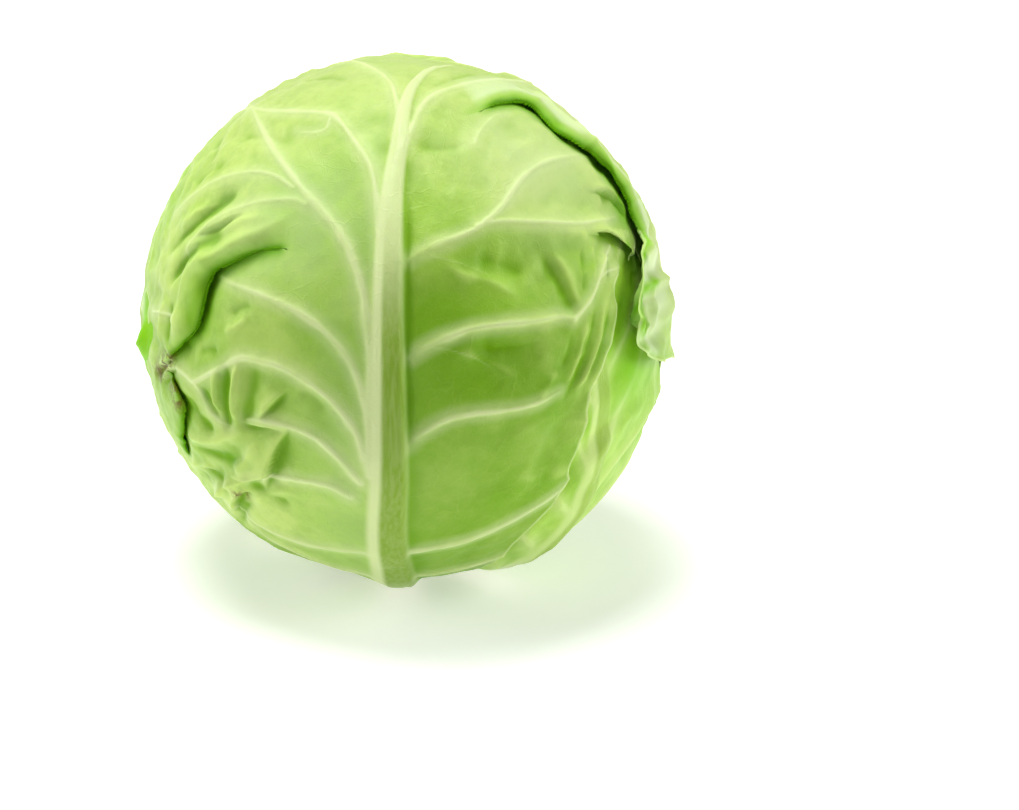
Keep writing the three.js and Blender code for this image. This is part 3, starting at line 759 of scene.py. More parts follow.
def closed_shell(name, ok, f, outer, thick, attrs, material):
    """outer: (ny, nx, 3) surface; thick: (ny, nx); attrs: name to (ny, nx). Clips by f > 0, adds the
    inner surface and closes the margin."""
    quads, tris, na, nb, t = clip_mesh(ok, f)
    quads, tris = largest_part(f.size + len(na), quads, tris)
    mix = lambda v: np.concatenate([v, v[na] * (1 - t.reshape((-1,) + (1,) * (v.ndim - 1))) + v[nb] * t.reshape((-1,) + (1,) * (v.ndim - 1))])
    co = mix(outer.reshape(-1, 3))
    th = mix(thick.ravel())
    at = {k: mix(v.ravel()) for k, v in attrs.items()}
    used = np.zeros(len(co), bool)
    used[quads.ravel()] = True
    used[tris.ravel()] = True
    new = np.cumsum(used) - 1
    co, th, quads, tris = co[used], th[used], new[quads], new[tris]
    at = {k: v[used] for k, v in at.items()}
    nrm = vertex_normals(co, quads, tris)
    n = len(co)
    e = np.vstack([quads[:, [0, 1]], quads[:, [1, 2]], quads[:, [2, 3]], quads[:, [3, 0]], tris[:, [0, 1]], tris[:, [1, 2]], tris[:, [2, 0]]])
    key = np.minimum(e[:, 0], e[:, 1]).astype(np.int64) * n + np.maximum(e[:, 0], e[:, 1])
    _, first, counts = np.unique(key, return_index=True, return_counts=True)
    rim = e[first[counts == 1]]
    inner = co - nrm * th[:, None]
    # the margin is rounded: a middle row of points stands out between the two faces
    rim_v = np.unique(rim)
    where = np.full(n, -1)
    where[rim_v] = np.arange(len(rim_v))
    out_dir = np.zeros((n, 3))
    ev = co[rim[:, 1]] - co[rim[:, 0]]
    side = np.cross(ev, nrm[rim[:, 0]])
    side /= np.maximum(np.linalg.norm(side, axis=1, keepdims=True), 1e-9)
    np.add.at(out_dir, rim[:, 0], side)
    np.add.at(out_dir, rim[:, 1], side)
    out_dir = out_dir[rim_v] / np.maximum(np.linalg.norm(out_dir[rim_v], axis=1, keepdims=True), 1e-9)
    mid = (co[rim_v] + inner[rim_v]) / 2 + out_dir * (th[rim_v] * 0.42)[:, None]
    co3 = np.vstack([co, inner, mid])
    m0, m1 = 2 * n + where[rim[:, 0]], 2 * n + where[rim[:, 1]]
    quads3 = np.vstack([quads, quads[:, ::-1] + n, np.stack([rim[:, 1], rim[:, 0], m0, m1], -1), np.stack([m1, m0, rim[:, 0] + n, rim[:, 1] + n], -1)])
    tris3 = np.vstack([tris, tris[:, ::-1] + n])
    at3 = {k: np.concatenate([v, v, v[rim_v]]) for k, v in at.items()}
    at3["inner"] = np.concatenate([np.zeros(n), np.ones(n), np.full(len(rim_v), 0.5)])
    return make_object(name, co3, quads3, tris3, at3, material)


# ------------------------------------------------------------------ materials
def new_material(name):
    m = bpy.data.materials.new(name)
    m.use_nodes = True
    nt = m.node_tree
    nt.nodes.clear()
    out = nt.nodes.new("ShaderNodeOutputMaterial")
    bsdf = nt.nodes.new("ShaderNodeBsdfPrincipled")
    nt.links.new(bsdf.outputs[0], out.inputs[0])
    return m, nt, bsdf


class Wire:
    """Short hands for building node trees."""

    def __init__(self, nt):
        self.nt = nt

    def node(self, kind, **kw):
        n = self.nt.nodes.new(kind)
        for k, v in kw.items():
            setattr(n, k, v)
        return n

    def put(self, sock, v):
        if isinstance(v, (int, float, tuple, list)):
            sock.default_value = v
        else:
            self.nt.links.new(v, sock)

    def attr(self, name):
        return self.node("ShaderNodeAttribute", attribute_name=name, attribute_type="GEOMETRY").outputs["Fac"]

    def math(self, op, a, b=0.0, c=0.0, clamp=False):
        n = self.node("ShaderNodeMath", operation=op, use_clamp=clamp)
        for s, v in zip(n.inputs, (a, b, c)):
            self.put(s, v)
        return n.outputs[0]

    def ramp(self, v, lo, hi, a=0.0, b=1.0):
        n = self.node("ShaderNodeMapRange", interpolation_type="SMOOTHSTEP", clamp=True)
        self.put(n.inputs["Value"], v)
        for k, x in (("From Min", lo), ("From Max", hi), ("To Min", a), ("To Max", b)):
            n.inputs[k].default_value = x
        return n.outputs["Result"]

    def mix(self, f, a, b):
        n = self.node("ShaderNodeMix", data_type="RGBA", clamp_factor=True)
        self.put(n.inputs[0], f)
        for s, v in ((n.inputs[6], a), (n.inputs[7], b)):
            if isinstance(v, tuple):
                s.default_value = (*v, 1.0) if len(v) == 3 else v
            else:
                self.nt.links.new(v, s)
        return n.outputs[2]

    def coords(self):
        return self.node("ShaderNodeTexCoord").outputs["Object"]

    def noise(self, vec, scale, detail=3.0, rough=0.5, distort=0.0):
        n = self.node("ShaderNodeTexNoise")
        self.nt.links.new(vec, n.inputs["Vector"])
        n.inputs["Scale"].default_value = scale
        n.inputs["Detail"].default_value = detail
        n.inputs["Roughness"].default_value = rough
        n.inputs["Distortion"].default_value = distort
        return n

    def cells(self, vec, scale, feature="DISTANCE_TO_EDGE"):
        n = self.node("ShaderNodeTexVoronoi", feature=feature)
        self.nt.links.new(vec, n.inputs["Vector"])
        n.inputs["Scale"].default_value = scale
        return n.outputs["Distance"]

    def warp(self, vec, scale, amount):
        n = self.noise(vec, scale, 2.0)
        v = self.node("ShaderNodeVectorMath", operation="MULTIPLY_ADD")
        self.nt.links.new(n.outputs["Color"], v.inputs[0])
        v.inputs[1].default_value = (amount,) * 3
        self.nt.links.new(vec, v.inputs[2])
        return v.outputs[0]


def srgb(r, g, b):
    f = lambda c: (c / 255 / 12.92) if c / 255 <= 0.04045 else ((c / 255 + 0.055) / 1.055) ** 2.4
    return (f(r), f(g), f(b))


def leaf_material(name, blade, deep, light, rib_tone, olive, wax_and_highlight_tone):
    m, nt, bsdf = new_material(name)
    w = Wire(nt)
    co = w.coords()
    tone, near, ribq, ribt = w.attr("tone"), w.attr("near"), w.attr("ribq"), w.attr("ribt")
    hollow_shade = w.attr("hollow_shade")
    wax_and_highlight, edge, painted_light, dry, innr, foot, shade = w.attr("wax_and_highlight"), w.attr("edge"), w.attr("painted_light"), w.attr("dry"), w.attr("inner"), w.attr("foot"), w.attr("shade")
    big = w.noise(co, 26.0, 3.0, 0.55).outputs["Fac"]
    mid = w.noise(co, 85.0, 4.0, 0.6).outputs["Fac"]
    fine = w.noise(co, 420.0, 4.0, 0.6).outputs["Fac"]
    # veinlets: two nets, the coarse one of areoles between the ribs and a fine one inside them
    warped = w.warp(co, 110.0, 0.009)
    net1 = w.ramp(w.cells(warped, 135.0), 0.0, 0.055, 1.0, 0.0)
    net2 = w.ramp(w.cells(w.warp(co, 240.0, 0.0016), 430.0), 0.0, 0.09, 1.0, 0.0)
    broken = w.ramp(w.noise(co, 60.0, 2.0).outputs["Fac"], 0.42, 0.62)
    net1 = w.math("MULTIPLY", net1, w.math("ADD", 0.25, w.math("MULTIPLY", broken, 0.75)))
    # the blade
    col = w.mix(w.ramp(big, 0.36, 0.66), blade, light)
    col = w.mix(w.math("MULTIPLY", w.ramp(mid, 0.42, 0.68), 0.35), col, deep)
    col = w.mix(w.math("MULTIPLY", shade, 0.85), col, deep)
    # painted light: paler where the light falls, most towards the top
    col = w.mix(w.math("MULTIPLY", painted_light, 0.9), col, srgb(188, 200, 136))
    col = w.mix(w.math("MULTIPLY", w.ramp(near, 4.2, 0.0), 0.34), col, rib_tone)
    col = w.mix(w.math("MULTIPLY", net1, 0.07), col, light)
    col = w.mix(w.math("MULTIPLY", net2, 0.05), col, light)
    col = w.mix(w.math("MULTIPLY", w.ramp(fine, 0.45, 0.7), 0.10), col, deep)
    # painted highlight where it stands proud (paler), painted shade in the hollows (deeper and more saturated)
    col = w.mix(w.math("MULTIPLY", w.attr("crest_highlight"), 0.42), col, srgb(202, 224, 126))
    col = w.mix(w.math("MULTIPLY", w.attr("valley_shade"), 0.82), col, deep)
    # wax bloom, blotchy, thickest low on the leaf and beside the midrib, with painted highlight in the spots where the
    # light falls
    bloom_and_highlight = w.math("MULTIPLY", wax_and_highlight, w.math("ADD", 0.62, w.math("MULTIPLY", w.ramp(mid, 0.3, 0.7), 0.38)))
    col = w.mix(w.math("MULTIPLY", bloom_and_highlight, 0.7), col, wax_and_highlight_tone)
    # ribs: paler than the blade, in a soft band that comes and goes
    patchy = w.ramp(w.noise(co, 75.0, 2.0, 0.5).outputs["Fac"], 0.3, 0.62, 0.55, 1.0)
    col = w.mix(w.math("MULTIPLY", w.math("MULTIPLY", w.ramp(tone, 0.08, 0.95), patchy), 0.78), col, rib_tone)
    on_rib = w.ramp(ribq, 1.3, 0.8)
    core = w.math("MULTIPLY", w.math("MULTIPLY", w.ramp(w.attr("ribs"), 0.6, 0.2), w.ramp(w.attr("ribs"), -1.15, -0.9, 0.6, 1.0)), w.ramp(ribt, 0.68, 0.52, 0.08, 1.0))
    streak = w.node("ShaderNodeMapping")
    nt.links.new(co, streak.inputs["Vector"])
    streak.inputs["Scale"].default_value = (1.0, 1.0, 0.05)
    fibres = w.ramp(w.noise(streak.outputs[0], 700.0, 3.0, 0.6).outputs["Fac"], 0.35, 0.65)
    rib_col = w.mix(w.math("MULTIPLY", core, w.math("ADD", 0.86, w.math("MULTIPLY", fibres, 0.14))), rib_tone, olive)
    rib_col = w.mix(foot, rib_col, srgb(236, 238, 208))
    col = w.mix(w.math("MULTIPLY", on_rib, 0.9), col, rib_col)
    glow = w.attr("glow")
    # painted highlight: paler on the flap's outer side and beyond the rolled lips
    col = w.mix(w.math("MULTIPLY", w.attr("pale_highlight"), 0.8), col, srgb(210, 226, 180))
    # painted glow: bright saturated green on the rolled lips and some shaded patches, as light shining through the thin
    # leaf
    col = w.mix(w.math("MULTIPLY", glow, 0.92, clamp=True), col, srgb(122, 186, 0))
    # painted shade: dark saturated green in the pleats' gaps and in dents
    col = w.mix(w.math("MULTIPLY", hollow_shade, 0.92), col, srgb(92, 152, 0))
    # thin margin: pale line, a little torn and dry in places
    margin = w.ramp(edge, 1.3, 0.2)
    col = w.mix(w.math("MULTIPLY", margin, 0.5), col, srgb(214, 230, 160))
    spots = w.math("MULTIPLY", dry, w.ramp(w.noise(co, 330.0, 5.0, 0.7).outputs["Fac"], 0.42, 0.56))
    col = w.mix(spots, col, srgb(100, 82, 22))
    col = w.mix(w.math("MULTIPLY", w.math("MULTIPLY", innr, w.math("SUBTRACT", 1.0, hollow_shade, clamp=True)), 0.55), col, srgb(196, 218, 140))
    nt.links.new(col, bsdf.inputs["Base Color"])
    # finish
    rough = w.math("ADD", 0.40, w.math("MULTIPLY", bloom_and_highlight, 0.22))
    rough = w.math("ADD", rough, w.math("MULTIPLY", w.ramp(mid, 0.3, 0.7), 0.09))
    nt.links.new(w.math("SUBTRACT", rough, w.math("MULTIPLY", tone, 0.05), clamp=True), bsdf.inputs["Roughness"])
    # painted shade on the sheen: less reflection in the painted hollows, valleys, shaded blade and glowing lips
    deepest = w.math("MAXIMUM", w.math("MAXIMUM", hollow_shade, w.attr("valley_shade")), w.math("MAXIMUM", w.math("MULTIPLY", shade, 0.6), w.math("MULTIPLY", glow, 0.7)))
    nt.links.new(w.math("SUBTRACT", 0.22, w.math("MULTIPLY", deepest, 0.19), clamp=True), bsdf.inputs["Specular IOR Level"])
    # thin rolled lips let more light through
    nt.links.new(w.math("ADD", 0.18, w.math("MULTIPLY", w.math("MAXIMUM", glow, hollow_shade), 0.5), clamp=True), bsdf.inputs["Subsurface Weight"])
    bsdf.inputs["Subsurface Radius"].default_value = (0.6, 1.0, 0.2)
    bsdf.inputs["Subsurface Scale"].default_value = 0.0012
    # relief finer than the mesh
    h = w.math("MULTIPLY", net1, 0.55)
    h = w.math("ADD", h, w.math("MULTIPLY", net2, 0.22))
    h = w.math("ADD", h, w.math("MULTIPLY", mid, 0.55))
    h = w.math("ADD", h, w.math("MULTIPLY", fine, 0.16))
    h = w.math("ADD", h, w.math("MULTIPLY", w.math("MULTIPLY", fibres, on_rib), 0.12))
    bump = w.node("ShaderNodeBump")
    bump.inputs["Strength"].default_value = 0.3
    bump.inputs["Distance"].default_value = 0.0004
    nt.links.new(h, bump.inputs["Height"])
    nt.links.new(bump.outputs[0], bsdf.inputs["Normal"])
    return m


def stem_material():
    m, nt, bsdf = new_material("stem")
    w = Wire(nt)
    co = w.coords()
    ring, cut, side = w.attr("ring"), w.attr("cut"), w.attr("sidez")
    big = w.noise(co, 70.0, 4.0, 0.6).outputs["Fac"]
    fine = w.noise(co, 480.0, 5.0, 0.65).outputs["Fac"]
    pores = w.ramp(w.cells(co, 900.0, "F1"), 0.1, 0.42)
    flesh = w.mix(w.ramp(big, 0.35, 0.7), srgb(233, 232, 196), srgb(216, 214, 158))
    flesh = w.mix(w.math("MULTIPLY", w.ramp(fine, 0.5, 0.72), 0.35), flesh, srgb(186, 170, 110))
    band = w.math("MULTIPLY", w.ramp(ring, 0.66, 0.72), w.ramp(ring, 0.84, 0.78))
    flesh = w.mix(w.math("MULTIPLY", band, 0.5), flesh, srgb(196, 200, 128))
    rind = w.ramp(ring, 0.9, 0.985)
    flesh = w.mix(w.math("MULTIPLY", rind, 0.75), flesh, srgb(150, 168, 92))
    flesh = w.mix(w.math("MULTIPLY", w.math("SUBTRACT", 1.0, pores), 0.28), flesh, srgb(166, 148, 92))
    brown = w.math("MULTIPLY", w.ramp(w.noise(co, 130.0, 5.0, 0.7).outputs["Fac"], 0.55, 0.72), 0.4)
    flesh = w.mix(brown, flesh, srgb(158, 128, 74))
    skin = w.mix(w.ramp(big, 0.35, 0.7), srgb(222, 228, 176), srgb(190, 206, 132))
    skin = w.mix(w.math("MULTIPLY", w.ramp(fine, 0.5, 0.75), 0.3), skin, srgb(150, 140, 84))
    nt.links.new(w.mix(cut, skin, flesh), bsdf.inputs["Base Color"])
    nt.links.new(w.math("ADD", 0.5, w.math("MULTIPLY", fine, 0.2)), bsdf.inputs["Roughness"])
    bsdf.inputs["Subsurface Weight"].default_value = 0.2
    bsdf.inputs["Subsurface Radius"].default_value = (1.0, 0.9, 0.5)
    bsdf.inputs["Subsurface Scale"].default_value = 0.003
    bump = w.node("ShaderNodeBump")
    bump.inputs["Strength"].default_value = 0.5
    bump.inputs["Distance"].default_value = 0.0005
    nt.links.new(w.math("ADD", fine, w.math("MULTIPLY", pores, 0.6)), bump.inputs["Height"])
    nt.links.new(bump.outputs[0], bsdf.inputs["Normal"])
    return m


PALETTES = {
    # blade, deep, light, ribs, olive core of the midrib, wax bloom and painted highlight
    "front_leaf": (srgb(150, 192, 62), srgb(102, 152, 4), srgb(182, 208, 106), srgb(206, 219, 158), srgb(120, 154, 34), srgb(182, 204, 140)),
    "left_leaf": (srgb(146, 189, 56), srgb(98, 148, 4), srgb(174, 208, 98), srgb(206, 224, 156), srgb(150, 178, 64), srgb(180, 203, 140)),
    "right_leaf": (srgb(156, 205, 50), srgb(112, 170, 8), srgb(178, 216, 90), srgb(200, 224, 136), srgb(150, 184, 66), srgb(180, 206, 124)),
    "back_leaf": (srgb(150, 193, 64), srgb(102, 150, 8), srgb(180, 212, 108), srgb(208, 226, 162), srgb(152, 180, 68), srgb(184, 205, 146)),
    "back_right_leaf": (srgb(147, 190, 59), srgb(99, 148, 6), srgb(176, 209, 101), srgb(207, 225, 158), srgb(151, 179, 65), srgb(182, 204, 142)),
    "crown_leaf": (srgb(164, 202, 84), srgb(116, 162, 34), srgb(188, 217, 116), srgb(212, 229, 166), srgb(160, 186, 78), srgb(190, 211, 150)),
}


# ------------------------------------------------------------------ one wrapper leaf
def build_leaf(k, step):
    leaf = LEAVES[k]
    name = leaf["name"]
    is_front = name == "front_leaf"
    rho = rim_at(leaf, PSI) * K
    ex, ey = rho * np.sin(PSI * DEG), rho * np.cos(PSI * DEG)
    pad = 5.0
    grid = Grid(ex.min() - pad, ex.max() + pad, ey.min() - pad, ey.max() + pad, step * FINE)
    cx, cy, spread = grid.coarse(4.0)
    cd = chart_dir(leaf, cx, cy)
    margins = [spread(inside(o, cd)) for o in LEAVES]
    heart = spread(envelope(cd) - PITCH * room(cd))
    env = spread(envelope(cd))
    X, Y = grid.X, grid.Y

    # outline, with a slightly wavy margin
    poly = np.stack([ex, ey], -1)
    ox, oy, ospread = grid.coarse(2.0)
    own = ospread(polygon_field(ox, oy, poly))
    own = own + (1.3 if is_front else 2.0) * grid.noise(16.0, 11 + k) + (0.5 if is_front else 0.8) * grid.noise(5.5, 31 + k)
    if is_front:
        notch = polygon_field(X, Y, smooth_line(np.vstack([front(FRONT_NOTCH, 88.5), front(FRONT_NOTCH[:1], 88.5)]), 2.0)[:-1])
        own = np.minimum(own, -notch + 0.25 * grid.noise(4.0, 57))

    # what lies over this leaf and under it
    cover = np.zeros_like(X)
    for j in range(k + 1, len(LEAVES)):
        cover = np.maximum(cover, smooth((margins[j] + 6.0) / 8.0))
    under = np.zeros_like(X)
    for j in range(k):
        under += smooth((margins[j] + 13.0) / 11.0)
    lower = heart + PITCH * under + 0.15
    # the leaves under the front one give way, so that its hollows have room
    sink = 1.5 * smooth((margins[BY_NAME["front_leaf"]] - 9.0) / 12.0)
    lower = lower - sink

    # ribs
    if is_front:
        mid, ribs = front_midrib(), front_ribs()
        ribs += branches(ribs, 77, 8.0, 1.0)
        widths = ([0, 0.1, 0.25, 0.45, 0.6, 0.75, 0.85, 1], [13.0, 9.0, 6.6, 5.2, 4.4, 3.2, 2.2, 1.0])
        heights = ([0, 0.12, 0.3, 0.55, 0.75, 0.9, 1], [4.4, 3.8, 3.0, 2.5, 1.7, 0.9, 0.3])
    else:
        mid, ribs, folds = pinnate(leaf, 100 + k)
        ribs += branches(ribs, 170 + k, 11.0, 1.1)
        widths = ([0, 0.1, 0.25, 0.5, 0.75, 1], [13.0, 9.0, 6.4, 4.2, 2.4, 0.8])
        heights = ([0, 0.12, 0.3, 0.6, 0.85, 1], [4.4, 3.6, 2.6, 1.6, 0.8, 0.2])
    ridge, tent, tone, near = ribs_over(grid, ribs)
    main, ribq, ribt, ribw = midrib_over(grid, mid, widths, heights, skew=-1.0 if is_front else 0.0)
    relief = smax(main, ridge, 0.25) + tent
    # the blade: slow undulation, fine quilting between the ribs
    quilt = np.clip(near / 7.0, 0, 1)
    if is_front:
        spot = lambda at, sx, sy: np.exp(-(((X - front([at])[0, 0]) / sx) ** 2) - ((Y - front([at])[0, 1]) / sy) ** 2)
        busy = (0.4 + 0.8 * smooth((np.abs(X / K + 4) - 14) / 36.0)) * (1 - 0.75 * spot((560, 180), 20.0, 18.0))
        relief += quilt * busy * (0.75 * (0.45 - np.abs(grid.noise(15.0, 7) + 0.25 * grid.noise(5.0, 9))) + 0.4 * (0.45 - np.abs(grid.noise(7.0, 8))))
        relief += 0.5 * grid.noise(32.0, 3) + quilt * busy * (0.5 * grid.noise(14.0, 4) + 0.26 * grid.noise(6.5, 5) + 0.10 * grid.noise(3.2, 6))
        relief += folds_over(grid, [(smooth_line(front(pts)), h, wd) for pts, h, wd in FRONT_FOLDS])
        relief_flap = relief.copy()
        for step_no, (pts, rise, dip, which, reach, end) in enumerate(FRONT_STEPS):
            d, side, t = line_field(grid, smooth_line(front(pts), 0.8), 3.0 * reach)
            up = smooth(np.clip(side * which * d / 1.5 + 0.5, 0, 1))
            taper = smooth(t / 0.42) * (smooth((1 - t) / (0.42 if end == 1.0 else 0.2)) if end else 1.0)
            change = np.where(d < 500, (1.35 * rise * up * np.exp(-1.1 * d / reach) - 1.35 * dip * (1 - up) * np.exp(-1.9 * d / reach)) * taper, 0)
            relief += change
            if step_no > 1:
                relief_flap += change
    else:
        relief += quilt * (0.9 * (0.45 - np.abs(grid.noise(16.0, 280 + k) + 0.25 * grid.noise(5.0, 290 + k))) + 0.45 * (0.45 - np.abs(grid.noise(7.0, 285 + k))))
        relief += 0.75 * folds_over(grid, [(smooth_line(line), h, wd) for line, h, wd in folds])
        relief += 0.6 * grid.noise(28.0, 200 + k) + quilt * (0.5 * grid.noise(14.0, 220 + k) + 0.26 * grid.noise(6.5, 240 + k) + 0.1 * grid.noise(3.2, 260 + k))
    # near the foot the rib alone stands out, above the surface that the head rests on
    d0 = chart_dir(leaf, X, Y)
    low = smooth((-d0[..., 2] - 0.80) / 0.14)
    relief = relief * (1 - 0.45 * low)
    if is_front:
        relief_flap = relief_flap * (1 - 0.45 * low)

    # where the surface stands proud of its surroundings, and where it lies below them: masks for painted highlight and
    # painted shade
    proud = relief - blur(relief, 5.0 / grid.step)
    crest_highlight, valley_shade = smooth(proud / 1.0), smooth(-proud / 1.3)

    # how far the leaf stands off the leaves under it
    stand = 0.8 * smooth(own / 22.0)
    lift = (1.0 + 0.6 * grid.noise(24.0, 71 + k)) * np.exp(-np.maximum(own, 0) / 5.5) + 0.5 * grid.noise(9.0, 91 + k) * np.exp(-np.maximum(own, 0) / 3.0)
    base = lower + (stand + relief) * (1 - cover) + np.maximum(lift, 0.0) * (1 - cover) * (1 - low)
    base = smax(base, lower - 0.35, 0.5)  # a hollow never reaches the leaf below
    if is_front:
        open_form = env + 0.35
        blend = smooth((own - 2.0) / 22.0)
        base_low = smax(lower, open_form * blend + (lower + 0.2) * (1 - blend), 0.8)
        base = base_low + relief + np.maximum(lift, 0.0) * (1 - low) * 0.8
        on_flap = np.zeros(X.size, bool)

    thick = THICK * (0.45 + 0.55 * smooth(own / 4.0)) + 0.5 * np.clip(main, 0, 3) * 0.6

    # colour fields
    wax_and_highlight = np.zeros_like(X)
    shade = np.zeros_like(X)
    painted_light = np.zeros_like(X)
    dry = np.zeros_like(X)
    if is_front:
        gx, gy = X / K, Y / K
        left = smooth((4.0 - gx) / 26.0)
        lowf = smooth((34.0 - gy) / 62.0)
        wax_and_highlight = smooth((-gx + 2.0) / 8.0) * smooth((gx + 60.0) / 24.0) * (0.08 + 0.42 * smooth((gy - 12.0) / 18.0) * smooth((66.0 - gy) / 22.0))
        wax_and_highlight += 0.45 * smooth((40 - gy) / 50.0) * np.exp(-(((gx + 9.0) / 10.0) ** 2)) + 0.3 * smooth((-gx - 52.0) / 20.0) * smooth((gy + 30) / 30.0)
        # painted highlight: paler spots where the light falls, most on the flap's outer side
        wax_and_highlight += 0.75 * spot((545, 178), 22.0, 22.0) + 0.35 * spot((500, 145), 18.0, 16.0) + 0.3 * spot((300, 215), 12.0, 14.0)
        wax_and_highlight += 0.8 * spot((606, 124), 10.0, 14.0) + 0.8 * spot((642, 188), 10.0, 14.0) + 0.5 * spot((664, 240), 8.0, 12.0)
        wax_and_highlight *= 1.0 - 0.85 * smooth((-gx - 26.0) / 14.0) * smooth((10.0 - gy) / 14.0)
        # painted light: paler towards the top and on the right, where the light falls
        painted_light = smooth((gy - 40.0) / 50.0) * 0.6 + 0.45 * smooth((gx - 44) / 20.0) * smooth((gy + 10) / 24.0)
        painted_light += 0.55 * np.exp(-(((gx - 38) / 22.0) ** 2) - ((gy - 52) / 17.0) ** 2)
        shade = 0.72 * smooth((gx + 2.0) / 6.0) * smooth((42.0 - gy) / 30.0) * smooth((60 - gx) / 22.0)
        shade += 0.3 * spot((500, 365), 26.0, 9.0) + 0.35 * spot((440, 300), 12.0, 16.0) + 0.45 * spot((560, 248), 12.0, 8.0) + 0.25 * spot((560, 385), 14.0, 12.0)
        shade += 0.22 * spot((318, 368), 24.0, 28.0) + 0.3 * spot((440, 340), 10.0, 14.0)
        shade -= 0.45 * spot((520, 272), 12.0, 9.0) + 0.3 * spot((540, 345), 12.0, 8.0)
        shade += 0.4 * smooth((-gx - 16.0) / 18.0) * smooth((34.0 - np.abs(gy + 6)) / 30.0)
        gp = front([(165, 366), (171, 361), (160, 372), (176, 389), (180, 397), (243, 493)])
        for (px, py), s in zip(gp, (5.5, 5.0, 4.5, 4.2, 3.6, 3.2)):
            dry = np.maximum(dry, np.exp(-(((X - px) / s) ** 2) - ((Y - py) / s) ** 2))
    else:
        wax_and_highlight = 0.45 * smooth((-Y / K + 10.0) / 70.0) + 0.2 * np.clip(grid.noise(40.0, 300 + k), 0, 1)
        # painted light: paler towards the top of the head
        painted_light = 0.5 * smooth((d0[..., 2] - 0.55) / 0.4)
        shade = 0.35 * np.clip(grid.noise(34.0, 320 + k), 0, 1)
    foot = smooth((-d0[..., 2] - 0.74) / 0.2)

    # pleats
    mx, my = X.ravel().copy(), Y.ravel().copy()
    tx, ty, dz = np.zeros(mx.size), np.zeros(mx.size), np.zeros(mx.size)
    cut = np.full(mx.size, 1e3)
    glow, hollow_shade, pale_highlight, rim_at_cut = np.zeros(mx.size), np.zeros(mx.size), np.zeros(mx.size), np.full(mx.size, 1e3)
    if is_front:
        lines = []
        for p in FRONT_PLEATS:
            line = smooth_line(front(p["pts"], p["rad"]), 1.0)
            main_part = smooth_line(front(p["pts"][:len(p["pts"]) - p["tail"]], p["rad"]), 1.0)
            stretch = np.linalg.norm(np.diff(line, axis=0), axis=1).sum() / np.linalg.norm(np.diff(main_part, axis=0), axis=1).sum()
            d, _, _ = line_field(grid, line, 24.0)
            sel = np.flatnonzero(d.ravel() < 22.0)
            lines.append((p, line, sel, stretch))
        # the grid is drawn together at the pleats
        ax, ay = np.zeros(mx.size), np.zeros(mx.size)
        for p, line, sel, stretch in lines:
            d, side, t, qx, qy = line_points(mx[sel], my[sel], line)
            g = -0.58 * np.exp(-((d / 6.5) ** 2))
            ax[sel] += (mx[sel] - qx) * g
            ay[sel] += (my[sel] - qy) * g
        mx += ax
        my += ay
        for p, line, sel, stretch in lines:
            d, side, t, qx, qy = line_points(mx[sel], my[sel], line)
            t = np.minimum(t * stretch, 1.0)
            dd = np.maximum(d, 1e-6)
            nx_, ny_ = (mx[sel] - qx) / dd, (my[sel] - qy) / dd
            val = lambda key: np.interp(t, [a for a, _ in p[key]], [b for _, b in p[key]])
            on_top = side * p["side"] > 0
            if p["tail"]:
                on_flap[sel[on_top]] = True
            fall = np.exp(-((d / p["lift_reach"]) ** 2))
            # upper layer: pushed over the line, lifted, its edge rolled under
            shift = -(val("over") + p["slit"]) * np.exp(-((d / 7.0) ** 2))
            rise = val("lift") * fall
            e = np.maximum(d - p["slit"], 0)
            rr = p["roll_r"]
            e0 = rr * 2.3
            th = np.clip((e0 - e) / rr, 0, 2.24) * val("roll")
            curl_t = np.where(e < e0, (e0 - rr * np.sin(np.minimum(th, 2.24))) - e, 0) * val("roll")
            curl_h = np.where(e < e0, -rr * (1 - np.cos(np.minimum(th, 2.24))), 0) * np.clip(val("roll"), 0, 1)
            top_t, top_h = shift + curl_t, rise + curl_h
            # lower layer: pulled a little under it and pressed down
            low_t = -(val("under") + p["slit"]) * np.exp(-((d / 4.0) ** 2))
            beyond = np.maximum(d - 0.6 * val("over"), 0)
            low_h = -val("dip") * np.exp(-((beyond / 4.0) ** 2))
            last = 1 - t if p["free"][-1][1] == 0 else np.ones_like(t)
            part = smooth((t - 0.012) / 0.05) * smooth((last - 0.012) / 0.05)
            slit = (p["slit"] + 0.25) * smooth(t / 0.022) * smooth(last / 0.022) - 0.25
            sh, hh = np.where(on_top, top_t, low_t) * part, np.where(on_top, top_h, low_h) * part
            tx[sel] += nx_ * sh
            ty[sel] += ny_ * sh
            dz[sel] += hh
            cut[sel] = np.minimum(cut[sel], d - slit)
